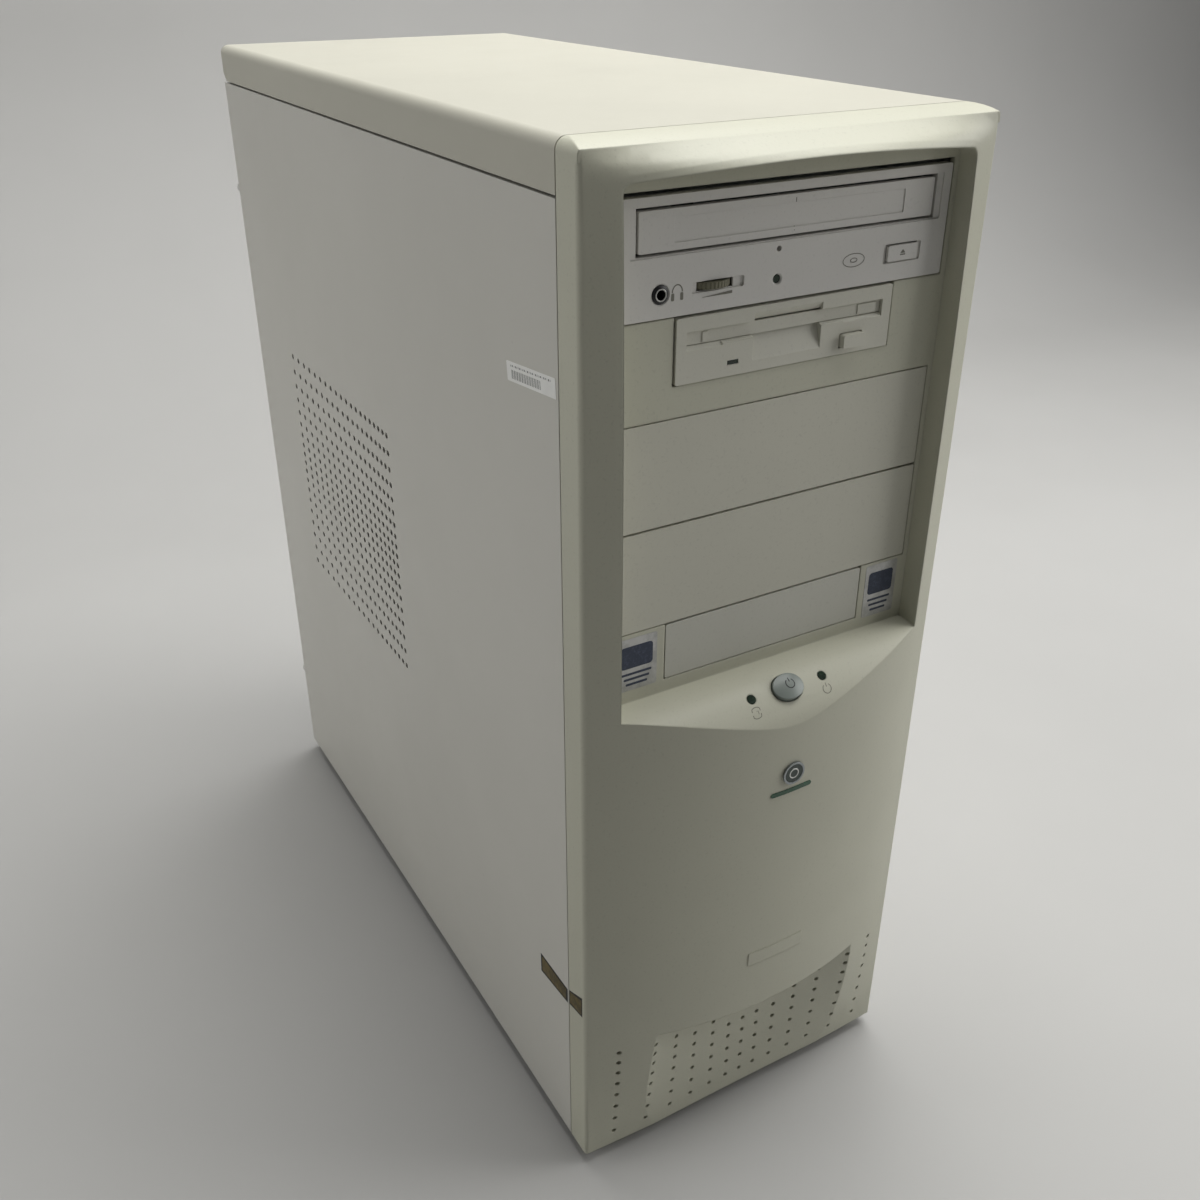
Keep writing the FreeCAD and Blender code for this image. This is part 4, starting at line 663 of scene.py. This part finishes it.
def make_drive_marks(looks, groove_shade):
    """Signs drawn in painted groove shade, and socket rings, on the compact disc drive, placed from the
    middle of its bezel's foot.
    """
    foot = Vector(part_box("cd_drive_bezel")[0])

    def spot(across, rise, node="cd_drive_bezel", body="case"):
        return Face(node, body, (across * MM, foot.y, foot.z + rise * MM))

    def mark(name, face, cells, height=0.06):
        lay(name, face, cells, groove_shade, height)

    socket = spot(-57.5, 8.5)
    lay("jack_ring", socket, ring(2.35, 3.4), looks["dark_plastic"], height=0.35)
    lay("jack_contact", socket, ring(1.85, 2.3), looks["port_metal"], height=0.5)
    phones = stroke(arc(2.1, 0, 180, (0, 0.2), 1.25), 0.40)
    for side in (-1, 1):
        phones += plate(1.2, 2.7, 0.4, 2, middle=(1.9 * side, -1.4))
    mark("headphone_sign", spot(-50.5, 8.4), phones)
    mark("volume_wedge", spot(-33.5, 5.4), [[(-6.5, -0.1), (6.5, -0.1), (6.5, 0.9)]], height=0.2)
    disc_sign = [cell for radius in (5.2, 1.6) for cell in stroke(arc(radius, 0, 360, squash=0.48), 0.3)]
    mark("disc_sign", spot(29.0, 10.3), disc_sign)
    half_width = 1.3
    arrow = [(-half_width, -0.1), (half_width, -0.1), (0.0, 1.3)]
    bar = [(-half_width, -0.9), (half_width, -0.9), (half_width, -0.45), (-half_width, -0.45)]
    mark("eject_sign", spot(53.0, 10.5, "cd_eject_button", "cd_eject_button"), [arrow, bar])
    ticks = [cell for rise in (4.2, -5.8) for cell in stroke([(0, rise), (0, rise + 1.6)], 0.35)]
    mark("tray_ticks", spot(0.0, 30.1, "cd_tray", "cd_tray"), ticks)


def make_stickers(silver, band):
    """Two silver stickers beside the small bay cover, each with a plain dark panel and rules."""
    bay = middle_of("bay_cover_small")
    bay.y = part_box("bay_cover_small")[0][1]
    over, through = 0.16, 0.10
    sizes = {"right": (63.5, -1.2, 17.9, 26.0), "left": (-64.4, -0.9, 19.2, 24.4)}
    for side, (across, rise, width, height) in sizes.items():
        face = Face("front_bezel", "case", bay + Vector((across, 0, rise)) * MM)
        lay(side + "_sticker", face, plate(width, height, 1.0), silver, height=0.12)
        panel = plate(width - 4, height * 0.42, 1.6, middle=(0, height * 0.14))
        lay(side + "_sticker_panel", face, panel, band, over, through)
        widths = [width - 5 - 2 * step for step in range(3)]
        lines = rules(widths, 1.1, 0.4, top=-0.18 * height, pitch=0.10 * height)
        lay(side + "_sticker_rules", face, lines, band, over, through)


def side_face(node, body, back=0.0, rise=0.0, turn=0.0):
    """The left side as a face, from the front foot of the left side panel."""
    panel_low = Vector(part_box("left_side_panel")[0])
    return Face(node, body, panel_low + Vector((0, back, rise)) * MM, (-1, 0, 0), (0, -1, 0), turn)


def make_side_label(paper, ink):
    """A plain label with bars on the left side panel."""
    face = side_face("left_side_panel", "left_side_panel", back=21.5, rise=391.4, turn=5.7)
    lay("asset_label", face, plate(39.3, 7.7, 0.6), paper, height=0.12)
    tall_bars = bars(24.0, 3.4, 30, (-4.0, -0.9))
    short_bars = bars(33.0, 0.7, 26, (0.0, 2.3))
    lay("asset_label_print", face, tall_bars + short_bars, ink, height=0.15, foot=0.11)


def make_seal(ink):
    """The worn foil seal over the seam between the left side panel and the bezel, parted at the seam."""
    gold = worn_foil("seal_foil", (0.20, 0.15, 0.05), (0.08, 0.065, 0.03))
    rear_corners = [(-27.8, 88.0), (-0.9, 90.8), (-0.9, 99.4), (-27.8, 99.6)]
    front_corners = [(0.8, 91.8), (13.0, 94.0), (13.0, 106.0), (0.8, 100.5)]
    foil_length, foil_height = 0.90, 0.78
    halves = {"rear": ("left_side_panel", "left_side_panel", rear_corners),
              "front": ("front_bezel", "case", front_corners)}
    for half, (node, body, corners) in halves.items():
        face = side_face(node, body)
        lay("seal_edge_" + half, face, patch(corners), ink, height=0.08)
        middle = sum((Vector(corner) for corner in corners), Vector((0, 0))) / 4
        inner = [(middle.x + (across - middle.x) * foil_length, middle.y + (rise - middle.y) * foil_height)
                 for across, rise in corners]
        lay("seal_" + half, face, patch(inner), gold, height=0.13, foot=0.06)


def make_rating_label(paper, ink):
    """A plain label with rules and bars on the rear plate."""
    origin = (4.0 * MM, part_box("chassis_rear")[1][1], 252.0 * MM)
    face = Face("chassis_rear", "case", origin, **REAR)
    lay("rating_label", face, plate(42.0, 62.0, 1.2), paper, height=0.12)
    widths = [34.0 - 3 * (step % 3) for step in range(6)]
    printed = rules(widths, 0.9, 0.3, top=24, pitch=5) + bars(32.0, 9.0, 34, (0, -20.0))
    lay("rating_label_print", face, printed, ink, height=0.15, foot=0.11)


def make_fan_stickers(silver, band):
    """Round stickers with a dark ring: on the two rear fans' frames and on the processor fan's hub."""
    frames_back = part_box("fan_frames")[1][1]
    for name in ("psu_fan", "case_fan"):
        hub = middle_of(name)
        motor = Face("fan_frames", "case", (hub.x, frames_back, hub.z), **REAR)
        lay(name + "_sticker", motor, disc(14.0), silver, height=0.10)
        lay(name + "_sticker_band", motor, ring(9.5, 11.0), band, height=0.14, foot=0.08)
    cooler = middle_of("cpu_fan")
    cooler.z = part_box("cpu_fan")[0][2]
    hub = Face("cpu_fan", "cpu_fan", cooler, (0, 0, -1))
    lay("cpu_fan_sticker", hub, disc(8.5), silver, height=0.08)
    lay("cpu_fan_sticker_band", hub, ring(5.5, 6.5), band, height=0.12, foot=0.06)


def make_inner_labels(paper, ink):
    """Plain labels on the hard disk, the compact disc drive and the power supply."""
    for node, width, depth in (("hard_disk", 68.0, 84.0), ("cd_drive_case", 110.0, 80.0)):
        top = middle_of(node)
        top.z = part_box(node)[1][2]
        lid = Face(node, "case", top, (0, 0, 1))
        lay(node + "_label", lid, plate(width, depth, 1.5), paper, height=0.10)
        widths = [width * (0.8 - 0.1 * (step % 2)) for step in range(5)]
        printed = rules(widths, 1.2, 0.4, top=depth * 0.35, pitch=depth * 0.09)
        printed += bars(width * 0.6, depth * 0.14, 36, (0, -depth * 0.3))
        lay(node + "_label_print", lid, printed, ink, height=0.13, foot=0.09)
    supply_low, supply_high = (Vector(corner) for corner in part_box("psu_case"))
    origin = (supply_low.x, supply_high.y - 22.0 * MM, (supply_low.z + supply_high.z) / 2)
    wall = Face("psu_case", "case", origin, (-1, 0, 0), (0, -1, 0))
    lay("psu_label", wall, plate(34.0, 66.0, 1.2), paper, height=0.12)
    printed = rules([28.0] * 8, 0.9, 0.3, top=26, pitch=5.5) + bars(26.0, 7.0, 28, (0, -25.0))
    lay("psu_label_print", wall, printed, ink, height=0.15, foot=0.11)


def make_socket_rings():
    """Coloured rings round the rear sockets."""
    colours = {"lime": (0.22, 0.42, 0.05), "blue": (0.05, 0.20, 0.50), "pink": (0.60, 0.16, 0.24),
               "black": (0.02, 0.02, 0.02), "violet": (0.16, 0.07, 0.34), "green": (0.04, 0.24, 0.09)}
    tints = {name: moulded_plastic("ring_" + name, colour, 0.4, 0.1 * MM, faded(colour, 0.5), 0.4)
             for name, colour in colours.items()}
    height = 0.25
    first, pitch = 58.0, 13.0
    card_level = middle_of("sound_card").z
    card_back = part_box("sound_card")[1][1]
    for index, name in enumerate(("lime", "blue", "pink", "black")):
        origin = ((first - pitch * index) * MM, card_back, card_level)
        face = Face("sound_card", "case", origin, **REAR)
        lay("audio_ring_" + name, face, ring(2.0, 4.0), tints[name], height)
    board_high = Vector(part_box("board_ports")[1])
    keyboard_across = 70.5
    for name, drop in (("green", 7.0), ("violet", 23.0)):
        origin = (keyboard_across * MM, board_high.y, board_high.z - drop * MM)
        face = Face("board_ports", "case", origin, **REAR)
        lay("keyboard_ring_" + name, face, ring(5.1, 6.4), tints[name], height)


def make_pieces(looks):
    """Every thin piece, laid on the CAD nodes that are already dressed."""
    # painted shade: this dark material on the pressed-in signs stands for the shade inside their grooves
    groove_shade = moulded_plastic("mark_shadow", (0.20, 0.195, 0.16), 0.5, 0.1 * MM, texture=0.4)
    ink = printed_ink("label_ink", (0.02, 0.02, 0.022))
    paper = label_paper("sticker_paper", (0.90, 0.90, 0.87))
    silver = worn_foil("sticker_silver", (0.50, 0.50, 0.49), (0.38, 0.38, 0.37))
    band = printed_ink("label_band", (0.045, 0.055, 0.085))
    make_power_marks(groove_shade, ink)
    make_emblem(looks)
    make_drive_marks(looks, groove_shade)
    make_stickers(silver, band)
    make_side_label(paper, ink)
    make_seal(ink)
    make_rating_label(paper, ink)
    make_fan_stickers(silver, band)
    make_inner_labels(paper, ink)
    make_socket_rings()


# ---------------------------------------------------------------- run

make_camera()
make_lights()
make_floor()
make_pieces(dress_cad())
